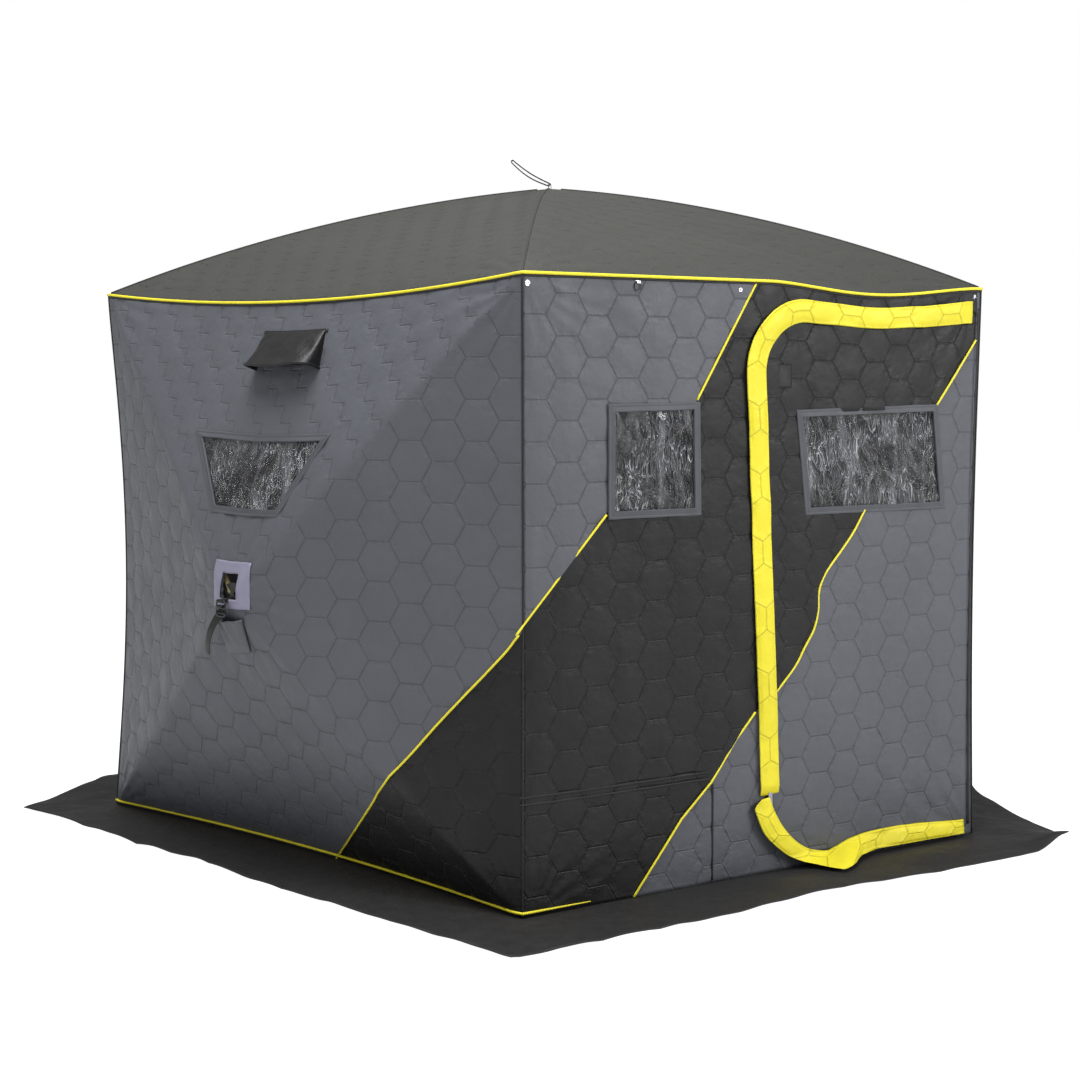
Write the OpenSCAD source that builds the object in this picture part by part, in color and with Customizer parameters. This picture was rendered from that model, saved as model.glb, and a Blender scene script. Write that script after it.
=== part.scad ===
// Five-sided pop-up ice fishing shelter: four hub walls, a flat door wall and a domed roof.
// Millimetres, +Z up, the door wall faces -Y, the origin is the middle of the footprint on the ice.

/* [Shelter] */
// Height of the roof fabric at the centre
centre_height = 2159; // [2050:1:2300]
// Height of the eave seam
eave_height = 1765; // [1700:1:1850]
// Distance from the centre line to each corner at the eave
eave_radius = 1535; // [1450:1:1650]
// Distance from the centre line to each corner on the ice
base_radius = 1553; // [1450:1:1670]
// Angle that the door wall takes up about the centre line, in degrees
door_angle = 65.2; // [60:0.1:72]
// How far a wall hub pushes its wall out of flat
push_out = 261; // [200:1:300]
// Height of the wall hubs
hub_height = 831; // [780:1:900]
// Arch of a roof pole above its chord
roof_bow = 56; // [30:1:80]
// Width of the snow skirt
skirt_width = 248; // [200:1:300]

/* [Fabric] */
// Thickness of the quilted wall
wall_t = 8; // [6:0.5:12]
// Thickness of the skirt
skirt_t = 4; // [3:0.5:6]
// Gap left at a sewn seam
seam = 0.5; // [0.4:0.1:1]

/* [Poles and hubs] */
// Radius of a fibreglass pole
pole_r = 5.5; // [4.5:0.5:7]
// Radius of the metal end fitting
ferrule_r = 8; // [7.5:0.5:10]
// Radius of a hub disc
hub_r = 50; // [45:1:60]
// Thickness of a hub disc
hub_t = 24; // [20:1:30]
// Distance from the hub's axis to each pole pin
pin_ring_r = 32; // [30:1:36]
// Radius of a pole pin
pin_r = 3; // [2.5:0.5:4]

/* [Door] */
// Hinge line of the door, to the right of the middle of the door wall
door_hinge_x = 813; // [805:1:815]
// Height of the door opening
door_top = 1688; // [1650:1:1695]
// Height of the sill below the door
door_sill = 30; // [25:1:60]
// Width of the yellow storm flap
flap_w = 70; // [50:1:80]

/* [Hidden] */
$fn = 48;
half_door = door_angle / 2;
hub_angle = (360 - door_angle) / 4;
half_hub = hub_angle / 2;
lean_per_mm = (base_radius - eave_radius) / eave_height;
skirt_back = base_radius + skirt_width / cos(half_hub);
skirt_front = base_radius * cos(half_door) + skirt_width;
centre_y = (skirt_front - skirt_back) / 2;
wall_foot = skirt_t + 1;
wall_head = eave_height - seam;

// Radius of the corner line at a height
function corner_radius(z) = base_radius - lean_per_mm * z;
// Direction that a wall faces: wall 0 is the door wall, walls 1 to 4 go round from it clockwise
function wall_dir(k) = k == 0 ? -90 : -90 - half_door - hub_angle * (k - 0.5);
// Direction of a corner: 0 front left, 1 left, 2 back, 3 right, 4 front right
function corner_dir(i) = -90 - half_door - hub_angle * i;
// A wall's end in the wall's own frame: side -1 is its left end, seen from outside
function wall_end(side, z, inset = 0) = [
    side * (corner_radius(z) - inset) * sin(half_hub), -(corner_radius(z) - inset) * cos(half_hub), z];

hub_plane = corner_radius(hub_height) * cos(half_hub);
apex = [0, -(hub_plane + push_out), hub_height];
corner_inset = wall_t / cos(90 - half_hub) * 0.75;
apex_inset = wall_t * 1.05;
eave_plane = corner_radius(eave_height) * cos(half_hub);
top_slope = atan((hub_plane + push_out - eave_plane) / (eave_height - hub_height));

// Poles of a hub wall: the fittings pull back from the corners, and the pins sit on the hub
tip_back = 66;
tip_inset = 16;
tip_r = 7.5;
hub_drop = 31;
mean_reach = 1290;
top_socket_z = eave_height - 14;
foot_socket_z = 20;
pin_out = push_out - hub_drop - pin_ring_r * push_out / mean_reach;
pin_y = -(hub_plane + pin_out);
eye_gap = 0.1;
bow_gap = 0.8;
fit_gap = 0.05;
slot_w = 18;
ear_bore = pin_r + fit_gap;
pin_len = slot_w + 16;
sleeve_end = 20;

// Socket points, pole angles and lengths in a wall's frame
function socket_z(up) = up > 0 ? top_socket_z : foot_socket_z;
function socket(side, up) = wall_end(side, socket_z(up));
function reach(up) = let (s = socket(1, up)) norm([s[0], s[2] - hub_height]);
function pole_turn(side, up) = let (s = socket(side, up)) atan2(s[2] - hub_height, s[0]);
function tip_y(up) = socket(1, up)[1] + tip_inset;
function pole_run(up) = reach(up) - tip_back - pin_ring_r;
function pole_dip(up) = atan2(tip_y(up) - pin_y, pole_run(up));
function pole_len(up) = norm([pole_run(up), tip_y(up) - pin_y]);

// Roof arch: one arc of a circle from the eave corner to the apex
roof_rise = centre_height - eave_height;
roof_chord = norm([eave_radius, roof_rise]);
roof_r = (roof_chord * roof_chord / 4 + roof_bow * roof_bow) / (2 * roof_bow);
roof_tilt = atan(roof_rise / eave_radius);
roof_mid = [eave_radius / 2, eave_height + roof_rise / 2];
roof_c = roof_mid - (roof_r - roof_bow) * [sin(roof_tilt), cos(roof_tilt)];
function roof_z(r) = roof_c[1] + sqrt(roof_r * roof_r - (r - roof_c[0]) * (r - roof_c[0]));
gusset_span = 300;
roof_t = 9;
roof_eye_r = 25;
roof_steps = 10;
roof_edge_tilt = 8;

// Roof hub and roof poles
roof_pin_z = centre_height - 30;
roof_tip_r = eave_radius - 95;
roof_tip_z = eave_height + 2;
roof_run = roof_tip_r - pin_ring_r;
roof_fall = roof_pin_z - roof_tip_z;
roof_pole_chord = norm([roof_run, roof_fall]);
roof_pole_bow = 50;
roof_pole_r = (roof_pole_chord * roof_pole_chord / 4 + roof_pole_bow * roof_pole_bow) / (2 * roof_pole_bow);
roof_pole_half = asin(roof_pole_chord / 2 / roof_pole_r);
roof_pole_dip = atan2(roof_fall, roof_run);

// Door opening, in the door wall's plane: x to the right, z up along the wall
door_lean = atan((base_radius - eave_radius) * cos(half_door) / eave_height);
door_wall_y = -base_radius * cos(half_door);
door_left_top = -57;
door_left_foot = 8;
door_round_top = 190;
door_round_foot = 200;
door_gap = 1;
flap_end_x = 790;
flap_out = 10;
flap_t = 3;
split_z = 238;
flap_gap = 6;
lay_gap = 0.3;

// Windows and vent
win_trim = 22;
win_t = 1.2;
side_win = [[-308, -450], [308, -450], [150, -711], [-150, -711]];
front_win = [[-559, 1412], [-252, 1416], [-246, 1092], [-559, 1092]];
door_win = [[95, 1390], [654, 1402], [698, 1074], [133, 1076]];
vent_mid = 48;
vent_half = 142;
vent_top = -107;
vent_foot = -235;
vent_reach = 72;
hole_w = 200;
hole_h = 80;
hole_up = 20;

fabric_grey = [0.38, 0.39, 0.42];
fabric_black = [0.12, 0.12, 0.13];
roof_grey = [0.25, 0.25, 0.24];
trim_yellow = [0.97, 0.94, 0.2];

// ---- frames ----

// A wall's frame: x to the right seen from outside, +y inward, the axis of the shelter at x = y = 0
module in_wall(k) {
    translate([0, centre_y, 0]) rotate([0, 0, wall_dir(k) + 90]) children();
}

// A corner's frame: x points out through the corner
module in_corner(i) {
    translate([0, centre_y, 0]) rotate([0, 0, corner_dir(i)]) children();
}

// The door wall's outer face: y = 0 is the face, +y is inward, z runs up the leaning wall
module in_door_plane() {
    translate([0, centre_y + door_wall_y, 0]) rotate([-door_lean, 0, 0]) children();
}

// The top facet of a hub wall: the origin is the middle of its eave, z runs up the slope
module in_top_facet(k) {
    in_wall(k) translate([0, -eave_plane, eave_height]) rotate([-top_slope, 0, 0]) children();
}

// Turns a flat outline in x and z into a plate from y = from to y = to
module plate(from, to) {
    translate([0, to, 0]) rotate([90, 0, 0]) linear_extrude(to - from) children();
}

// A flat three-cornered panel between an outer and an inner triangle, drawn in by the seam
module gusset(outer, inner) {
    oc = (outer[0] + outer[1] + outer[2]) / 3;
    ic = (inner[0] + inner[1] + inner[2]) / 3;
    draw_in = seam / gusset_span;
    points = concat([for (q = outer) q + (oc - q) * draw_in], [for (q = inner) q + (ic - q) * draw_in]);
    sides = [for (i = [0:2]) let (j = (i + 1) % 3) [j, i, i + 3, j + 3]];
    hull() polyhedron(points, concat([[0, 1, 2], [5, 4, 3]], sides));
}

// ---- fabric ----

// Half the angle that a wall takes up about the centre line
function half_angle(k) = k == 0 ? half_door : half_hub;

// Mitre slope at a wall's end: how far the skirt's end moves sideways per mm outward
function mitre(k, side) = let (
    beside_door = k == 0 || (k == 1 && side > 0) || (k == 4 && side < 0)
) tan(beside_door ? (half_door + half_hub) / 2 : half_hub);

// A skirt band's half length, at a distance out from its wall
function skirt_reach(k, side, out) = base_radius * sin(half_angle(k)) - seam / 2 + out * mitre(k, side);

// Five mitred bands that lie flat round the foot of the walls
module snow_skirt() {
    lap = -14;
    color(fabric_black)
    for (k = [0:4]) {
        foot = base_radius * cos(half_angle(k));
        in_wall(k) linear_extrude(skirt_t) polygon([
            [-skirt_reach(k, -1, lap), -foot - lap], [-skirt_reach(k, -1, skirt_width), -foot - skirt_width],
            [skirt_reach(k, 1, skirt_width), -foot - skirt_width], [skirt_reach(k, 1, lap), -foot - lap]]);
    }
}

// The four panels of a hub wall, from its eave, corners and foot to the hub
module hub_wall_panels() {
    tl = wall_end(-1, wall_head);
    tr = wall_end(1, wall_head);
    bl = wall_end(-1, wall_foot);
    br = wall_end(1, wall_foot);
    in_tl = wall_end(-1, wall_head, corner_inset);
    in_tr = wall_end(1, wall_head, corner_inset);
    in_bl = wall_end(-1, wall_foot, corner_inset);
    in_br = wall_end(1, wall_foot, corner_inset);
    in_apex = apex + [0, apex_inset, 0];
    gusset([apex, tl, tr], [in_apex, in_tl, in_tr]);
    gusset([apex, tr, br], [in_apex, in_tr, in_br]);
    gusset([apex, br, bl], [in_apex, in_br, in_bl]);
    gusset([apex, bl, tl], [in_apex, in_bl, in_tl]);
}

// Opening at the tip of a hub wall that the hub's pull strap comes out of: its corners lie on the seams
module strap_slot() {
    slot_half = 36;
    slot_depth = 120;
    rise = slot_half * (wall_head - hub_height) / wall_end(1, wall_head)[0];
    fall = slot_half * (hub_height - wall_foot) / wall_end(1, wall_foot)[0];
    translate([-slot_half, apex[1] - 10, hub_height - fall]) cube([2 * slot_half, slot_depth, rise + fall]);
}

module hub_wall(k) {
    color(fabric_grey)
    difference() {
        in_wall(k) hub_wall_panels();
        in_wall(k) strap_slot();
        in_top_facet(k) plate(-20, 30) offset(delta = -win_trim) polygon(side_win);
        if (k == 1) in_top_facet(k) vent_hole();
    }
}

module vent_hole() {
    translate([vent_mid - hole_w / 2, -20, vent_foot + hole_up]) cube([hole_w, 50, hole_h]);
}

module door_opening(grow) {
    top = door_top + grow;
    foot = door_sill - grow;
    right = door_hinge_x - 1 + grow;
    hull() {
        translate([door_left_top + door_round_top, door_top - door_round_top])
            circle(door_round_top + grow, $fn = 64);
        translate([door_left_foot + door_round_foot, door_sill + door_round_foot])
            circle(door_round_foot + grow, $fn = 64);
        translate([right - 1, foot]) square([1, top - foot]);
    }
}

module door_wall() {
    end_cut = wall_t / tan(90 - half_door) + seam;
    half_foot = base_radius * sin(half_door) - end_cut;
    half_head = eave_radius * sin(half_door) - end_cut;
    color(fabric_black) in_door_plane() difference() {
        plate(0, wall_t) polygon([
            [-half_foot, wall_foot], [-half_head, wall_head], [half_head, wall_head], [half_foot, wall_foot]]);
        plate(-5, wall_t + 5) door_opening(0);
        plate(-5, wall_t + 5) offset(delta = -win_trim) polygon(front_win);
    }
}

module door_panel() {
    color(fabric_black) in_door_plane() difference() {
        plate(0, wall_t) door_opening(-door_gap);
        plate(-5, wall_t + 5) offset(delta = -win_trim) polygon(door_win);
    }
}

// One gore of the roof, between two neighbouring ridges
module roof_gore(half) {
    inner_eave_r = eave_radius - roof_t / tan(roof_tilt + roof_edge_tilt);
    rs = [for (j = [0:roof_steps]) eave_radius + (roof_eye_r - eave_radius) * j / roof_steps];
    outer = [for (r = rs) [r, roof_z(r)]];
    inner = [for (j = [0:roof_steps]) j == 0 ? [inner_eave_r, eave_height] : [rs[j], roof_z(rs[j]) - roof_t]];
    outline = concat(outer, [for (j = [roof_steps:-1:0]) inner[j]]);
    count = len(outline);
    pull = seam / 2;
    left = [for (q = outline) [-q[0] * sin(half) + pull, -q[0] * cos(half), q[1]]];
    right = [for (q = outline) [q[0] * sin(half) - pull, -q[0] * cos(half), q[1]]];
    left_end = [for (j = [0:roof_steps - 1]) [j, j + 1, count - 2 - j, count - 1 - j]];
    right_end = [for (q = left_end) [for (i = [3:-1:0]) q[i] + count]];
    sides = [for (i = [0:count - 1]) let (j = (i + 1) % count) [j, i, i + count, j + count]];
    polyhedron(concat(left, right), concat(left_end, right_end, sides));
}

module roof_canopy() {
    color(roof_grey)
    for (k = [0:4]) {
        in_wall(k) roof_gore(half_angle(k));
    }
}

// ---- windows, vent and trim ----

module window_pane(outline) {
    plate(-win_t - 0.2, -0.2) offset(delta = -win_trim + 8) polygon(outline);
}

module window_trim(outline) {
    plate(-win_t - 2.2, -win_t - 0.2) difference() {
        polygon(outline);
        offset(delta = -win_trim) polygon(outline);
    }
}

module wall_windows() {
    color([0.75, 0.78, 0.8, 0.5]) {
        for (k = [1:4]) {
            in_top_facet(k) window_pane(side_win);
        }
        in_door_plane() window_pane(front_win);
    }
}

module wall_window_trims() {
    color(fabric_grey) {
        for (k = [1:4]) {
            in_top_facet(k) window_trim(side_win);
        }
        in_door_plane() window_trim(front_win);
    }
}

module door_window() {
    color([0.75, 0.78, 0.8, 0.5]) in_door_plane() window_pane(door_win);
}

module door_window_trim() {
    color(fabric_grey) in_door_plane() window_trim(door_win);
}

// Stiff-brimmed hood that keeps snow out of the vent
module vent_hood() {
    hood_t = 3;
    x0 = vent_mid - vent_half;
    width = 2 * vent_half;
    color(fabric_black) in_top_facet(1) translate([0, -0.4, 0]) difference() {
        translate([x0, 0, 0]) rotate([90, 0, 90]) linear_extrude(width)
            polygon([[0, vent_top], [0, vent_foot], [-vent_reach, vent_foot], [-6, vent_top]]);
        translate([x0 + hood_t, 0, 0]) rotate([90, 0, 90]) linear_extrude(width - 2 * hood_t)
            polygon([[1, vent_top - 8], [1, vent_foot - 1], [-vent_reach + hood_t + 1, vent_foot - 1],
                [-6 + hood_t, vent_top - 8]]);
    }
}

module vent_screen() {
    gap = 0.5;
    screen_t = 1.5;
    color([0.2, 0.2, 0.2]) in_top_facet(1)
        translate([vent_mid - hole_w / 2 + gap, 2, vent_foot + hole_up + gap])
        cube([hole_w - 2 * gap, screen_t, hole_h - 2 * gap]);
}

// ---- door trim ----

// A band along the edge of the door opening, from inner grow to outer grow
module edge_band(inner, outer) {
    difference() {
        door_opening(outer);
        door_opening(inner);
    }
}

// The part of the door wall left of the hinge between two heights
module level_band(from, to) {
    far_left = -400;
    translate([far_left, from]) square([flap_end_x - far_left, to - from]);
}

// A flap sewn along its inner edge: a flat band that stands off the wall, and the seam that holds it
module storm_flap(from, to) {
    sewn_w = 5;
    color(trim_yellow) in_door_plane() {
        plate(-flap_out - flap_t, -flap_out) intersection() {
            edge_band(-flap_w / 2, flap_w / 2);
            level_band(from, to);
        }
        plate(-flap_out, -lay_gap) intersection() {
            edge_band(-flap_w / 2, -flap_w / 2 + sewn_w);
            level_band(from, to);
        }
    }
}

module upper_storm_flap() {
    storm_flap(split_z + flap_gap, eave_height);
}

module lower_storm_flap() {
    storm_flap(skirt_t + flap_gap, split_z);
}

zip_w = 14;
zip_t = 1.5;

module zipper_tape(inner, outer) {
    color("black") in_door_plane() plate(-zip_t - lay_gap, -lay_gap) intersection() {
        edge_band(inner, outer);
        level_band(skirt_t + flap_gap, eave_height);
    }
}

module door_zipper_tape() {
    zipper_tape(-zip_w - door_gap, -door_gap);
}

module wall_zipper_tape() {
    zipper_tape(0, zip_w);
}

// Direction of the straight stretch of the zipper, from the vertical
zip_foot = door_sill + door_round_foot;
zip_run = door_top - door_round_top - zip_foot;
zip_lean = atan((door_left_foot - door_left_top) / zip_run);

// A zipper slider with its pull tab, at a height on the straight stretch
module zipper_slider(z, pull_down) {
    x = door_left_foot + (door_left_top - door_left_foot) * (z - zip_foot) / zip_run;
    body_out = 6.5;
    tab_t = 1.9;
    in_door_plane() translate([x, 0, z]) rotate([0, -zip_lean, 0]) {
        plate(-body_out, -zip_t - 2 * lay_gap) offset(4) square([10, 20], center = true);
        mirror([0, 0, pull_down]) plate(-body_out - lay_gap - tab_t, -body_out - lay_gap)
            translate([-5, 2]) offset(2) square([10, 45]);
    }
}

module upper_zipper_slider() {
    color("silver") zipper_slider(split_z + 60, 0);
}

module lower_zipper_slider() {
    color("silver") zipper_slider(split_z + 20, 1);
}

// ---- eave fittings ----

rivet_x = [-812, -113, 800];
ring_x = -465;
ring_z = eave_height - 30;
ring_r = 11;
ring_wire_r = 1.6;
keeper_w = 10;
keeper_t = 1.4;
keeper_out = 10.4;
ring_out = 4.9;

module eave_rivets() {
    color("silver") in_door_plane() {
        for (x = rivet_x) {
            translate([x, -lay_gap, ring_z]) rotate([90, 0, 0]) difference() {
                union() {
                    cylinder(r = 8, h = 1.6);
                    cylinder(r = 5.5, h = 3);
                }
                translate([0, 0, 1.6]) cylinder(r = 3, h = 3);
            }
        }
        // Keeper that the ring hangs from: back, top and lip
        translate([ring_x - keeper_w / 2, -keeper_t - lay_gap, ring_z + 9]) cube([keeper_w, keeper_t, 12]);
        translate([ring_x - keeper_w / 2, -keeper_out, ring_z + 13.5])
            cube([keeper_w, keeper_out - keeper_t, keeper_t]);
        translate([ring_x - keeper_w / 2, -keeper_out, ring_z + 9]) cube([keeper_w, keeper_t, 5]);
    }
}

// Ring for a tie-down, hanging from its keeper
module eave_d_ring() {
    color("black") in_door_plane() translate([ring_x, -ring_out, ring_z]) rotate([90, 0, 0])
        rotate_extrude() translate([ring_r, 0]) circle(ring_wire_r);
}

// ---- corner sockets ----

// Frame along a wall pole at its socket: x toward the hub, +y inward, in the wall's frame
module at_socket(side, up) {
    s = socket(side, up);
    translate(s) rotate([0, 180 - pole_turn(side, up), 0]) children();
}

cheek_from = 36;
cheek_to = 100;
cheek_depth = 33;
cheek_gap = 10;
cheek_t = 3;
channel_in = 27;
channel_len = 200;
wing_v0 = 9.8;
wing_v1 = 13.3;
wing_len = 105;

// Two cheeks that a pole tip rests between
module socket_cheeks(side, up) {
    at_socket(side, up) {
        for (s = [-1, 1]) {
            translate([cheek_from, wing_v0, s > 0 ? cheek_gap : -cheek_gap - cheek_t])
                cube([cheek_to - cheek_from, cheek_depth - wing_v0, cheek_t]);
        }
    }
}

module socket_channel(side, up) {
    at_socket(side, up) translate([cheek_from - 6, channel_in - 47, -cheek_gap])
        cube([channel_len, 47, 2 * cheek_gap]);
}

// One end point of a wing: v from the wall, run along it, in the corner's frame
function wing_point(run, v, a, side) = [-run * cos(a) - v * sin(a), side * (run * sin(a) - v * cos(a))];

// V-shaped outline between two offsets from the walls, for walls at angles a (left) and b (right)
function wing_outline(a, b) = [
    [-wing_v0 / sin((a + b) / 2), 0],
    wing_point(wing_len, wing_v0, b, 1),
    wing_point(wing_len, wing_v1, b, 1),
    [-wing_v1 / sin((a + b) / 2), 0],
    wing_point(wing_len, wing_v1, a, -1),
    wing_point(wing_len, wing_v0, a, -1)];
// The triangle between the wings, for the socket's plate
function floor_outline(a, b) = [
    [-wing_v0 / sin((a + b) / 2), 0],
    wing_point(wing_len, wing_v0, b, 1),
    wing_point(wing_len, wing_v0, a, -1)];

// Angle between a wall and the radius through its corner
hub_side = 90 - half_hub;
door_side = 90 - half_door;
function left_angle(i) = i == 4 ? door_side : hub_side;
function right_angle(i) = i == 0 ? door_side : hub_side;

// The wall poles that end at a corner, as [wall, side]
function corner_poles(i) = i == 0 ? [[1, 1]] : i == 4 ? [[4, -1]] : [[i, -1], [i + 1, 1]];

socket_h = 99;
socket_foot = 14;
socket_head = eave_height - 9;

module corner_socket(i, up) {
    z0 = up > 0 ? socket_head - socket_h : socket_foot;
    z1 = z0 + socket_h;
    plate_z = up > 0 ? z1 - cheek_t : z0;
    r = corner_radius(up > 0 ? eave_height : z0 + socket_h / 2);
    difference() {
        union() {
            in_corner(i) translate([r, 0, z0]) linear_extrude(z1 - z0)
                polygon(wing_outline(left_angle(i), right_angle(i)));
            in_corner(i) translate([r, 0, plate_z]) linear_extrude(cheek_t)
                polygon(floor_outline(left_angle(i), right_angle(i)));
            for (q = corner_poles(i)) {
                in_wall(q[0]) socket_cheeks(q[1], up);
            }
            if (up > 0) {
                in_corner(i) translate([eave_radius, 0, eave_height]) roof_cheeks();
            }
        }
        for (q = corner_poles(i)) {
            in_wall(q[0]) socket_channel(q[1], up);
        }
    }
}

// Two cheeks for the tip of a roof pole, standing on the socket's top plate
module roof_cheeks() {
    for (s = [-1, 1]) {
        translate([0, s > 0 ? cheek_gap + cheek_t : -cheek_gap, 0]) rotate([90, 0, 0]) linear_extrude(cheek_t)
            polygon([[-42, -11], [-42, 3], [-112, 26], [-112, 12], [-62, -11]]);
    }
}

module top_corner_sockets() {
    color([0.1, 0.1, 0.1])
    for (i = [0:4]) {
        corner_socket(i, 1);
    }
}

module bottom_corner_sockets() {
    color([0.1, 0.1, 0.1])
    for (i = [0:4]) {
        corner_socket(i, -1);
    }
}

// ---- hubs ----

// A hub disc about the z axis with its pins, slotted for poles at the given directions
module hub_disc(turns) {
    boss_r = 24;
    boss_out = 2.5;
    slot_from = 16;
    bolt_r = 4;
    bolt_out = 6;
    nut_r = 8;
    difference() {
        union() {
            cylinder(r = hub_r, h = hub_t, center = true, $fn = 72);
            cylinder(r = boss_r, h = hub_t + 2 * boss_out, center = true);
        }
        cylinder(r = bolt_r + 0.2, h = hub_t + 20, center = true);
        for (a = turns) {
            rotate([0, 0, a]) {
                translate([slot_from, -slot_w / 2, -hub_t]) cube([hub_r, slot_w, 2 * hub_t]);
                translate([pin_ring_r, 0, 0]) rotate([90, 0, 0])
                    cylinder(r = ear_bore, h = pin_len + 4, center = true);
            }
        }
    }
    for (a = turns) {
        rotate([0, 0, a]) translate([pin_ring_r, 0, 0]) rotate([90, 0, 0])
            cylinder(r = pin_r, h = pin_len, center = true);
    }
    // Bolt that holds the pull strap, with its nut inside the shelter
    cylinder(r = bolt_r, h = hub_t + 2 * bolt_out, center = true);
    translate([0, 0, -hub_t / 2 - bolt_out - boss_out - 0.5]) cylinder(r = nut_r, h = bolt_out);
}

module wall_hub(k) {
    color([0.12, 0.12, 0.12]) in_wall(k) translate([0, pin_y, hub_height]) rotate([90, 0, 0])
        hub_disc([for (side = [-1, 1], up = [-1, 1]) pole_turn(side, up)]);
}

module roof_hub() {
    color([0.12, 0.12, 0.12]) translate([0, centre_y, roof_pin_z])
        hub_disc([for (i = [0:4]) corner_dir(i)]);
}

// ---- poles ----

// End fitting with its eye round the pin: the pole leaves along +x, the pin lies along y
module pole_eye(fit = fit_gap) {
    eye_w = 12;
    sleeve_from = 14;
    sleeve_len = 46;
    difference() {
        union() {
            rotate([90, 0, 0]) cylinder(r = ferrule_r, h = eye_w, center = true);
            translate([0, -eye_w / 2, -eye_w / 2]) cube([sleeve_from + 2, eye_w, eye_w]);
            translate([sleeve_from, 0, 0]) rotate([0, 90, 0]) cylinder(r = ferrule_r, h = sleeve_len);
        }
        rotate([90, 0, 0]) cylinder(r = pin_r + eye_gap, h = 40, center = true);
        translate([sleeve_end, 0, 0]) rotate([0, 90, 0]) cylinder(r = pole_r + fit, h = 60);
    }
}

module pole_cap(fit = fit_gap) {
    cap_len = 24;
    difference() {
        union() {
            sphere(tip_r);
            translate([-cap_len, 0, 0]) rotate([0, 90, 0]) cylinder(r = tip_r, h = cap_len);
        }
        translate([-40, 0, 0]) rotate([0, 90, 0]) cylinder(r = pole_r + fit, h = 40);
    }
}

// A straight wall pole: 1 upper left, 2 upper right, 3 lower right, 4 lower left
module wall_pole(k, i) {
    side = i == 1 || i == 4 ? -1 : 1;
    up = i <= 2 ? 1 : -1;
    length = pole_len(up);
    color([0.8, 0.75, 0.5]) in_wall(k) translate([0, pin_y, hub_height])
        rotate([0, -pole_turn(side, up), 0]) translate([pin_ring_r, 0, 0]) rotate([0, 0, pole_dip(up)]) {
            rotate([90, 0, 0]) pole_eye();
            translate([sleeve_end + 0.5, 0, 0]) rotate([0, 90, 0])
                cylinder(r = pole_r, h = length - sleeve_end - 1);
            translate([length, 0, 0]) pole_cap();
        }
}

// A bowed roof pole, from its pin on the roof hub to its tip at a top corner
module roof_pole(i) {
    bow_c = [roof_pole_chord / 2, roof_pole_bow - roof_pole_r];
    sock = (sleeve_end + 1) / roof_pole_r * 180 / PI;
    color([0.8, 0.75, 0.5]) in_corner(i - 1) translate([pin_ring_r, 0, roof_pin_z])
        rotate([0, roof_pole_dip, 0]) {
            rotate([0, -roof_pole_half, 0]) pole_eye(bow_gap);
            translate([bow_c[0], 0, bow_c[1]]) rotate([90, 0, 0])
                rotate([0, 0, 90 - roof_pole_half + 0.02])
                rotate_extrude(angle = 2 * roof_pole_half - sock) translate([roof_pole_r, 0]) circle(pole_r);
            translate([roof_pole_chord, 0, 0]) rotate([0, roof_pole_half, 0]) pole_cap(bow_gap);
        }
}

// ---- pull straps ----

strap_w = 25;
strap_t = 2.5;
strap_bar_r = 2.6;
strap_loop_r = 3;
strap_pivot_out = 58;
bolt_top = 6.2;
roof_pivot_up = 42;
roof_strap_turn = 150;
roof_strap_lean = 58;
roof_strap_len = 160;

// Webbing loop about a bar along x at the origin, running back along -z to the hub
module strap_loop(length) {
    rotate([90, 0, 90]) linear_extrude(strap_w, center = true) difference() {
        union() {
            circle(strap_loop_r + strap_t);
            translate([-strap_loop_r - strap_t, -length])
                square([2 * (strap_loop_r + strap_t), length]);
        }
        circle(strap_loop_r);
        translate([-strap_loop_r, -length + strap_t]) square([2 * strap_loop_r, length - strap_t]);
    }
}

module wall_strap_anchor(k) {
    color("black") in_wall(k) translate([0, pin_y - strap_pivot_out, hub_height])
        rotate([90, 0, 0]) strap_loop(strap_pivot_out - hub_t / 2 - bolt_top);
}

module roof_strap_anchor() {
    color("black") translate([0, centre_y, roof_pin_z + roof_pivot_up]) rotate([0, 0, roof_strap_turn + 90])
        strap_loop(roof_pivot_up - hub_t / 2 - bolt_top);
}

// Buckle that hangs from a bar along x at the origin, with its webbing tail leaning to the left
module wall_pull_strap(k) {
    frame_half = 22;
    window_half = 14;
    frame_h = 50;
    tail_lean = 33;
    tail_len = 168;
    color("black") in_wall(k) translate([0, pin_y - strap_pivot_out, hub_height]) {
        difference() {
            plate(-3, 3) translate([-frame_half, 4 - frame_h]) square([2 * frame_half, frame_h]);
            plate(-5, 5) translate([-window_half, 14 - frame_h]) square([2 * window_half, frame_h]);
        }
        rotate([0, 90, 0]) cylinder(r = strap_bar_r, h = 2 * frame_half - 4, center = true);
        translate([0, 0, -30]) rotate([0, tail_lean, 0])
            plate(3.2, 3.2 + strap_t) translate([-strap_w / 2, -tail_len]) square([strap_w, tail_len]);
    }
}

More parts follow.
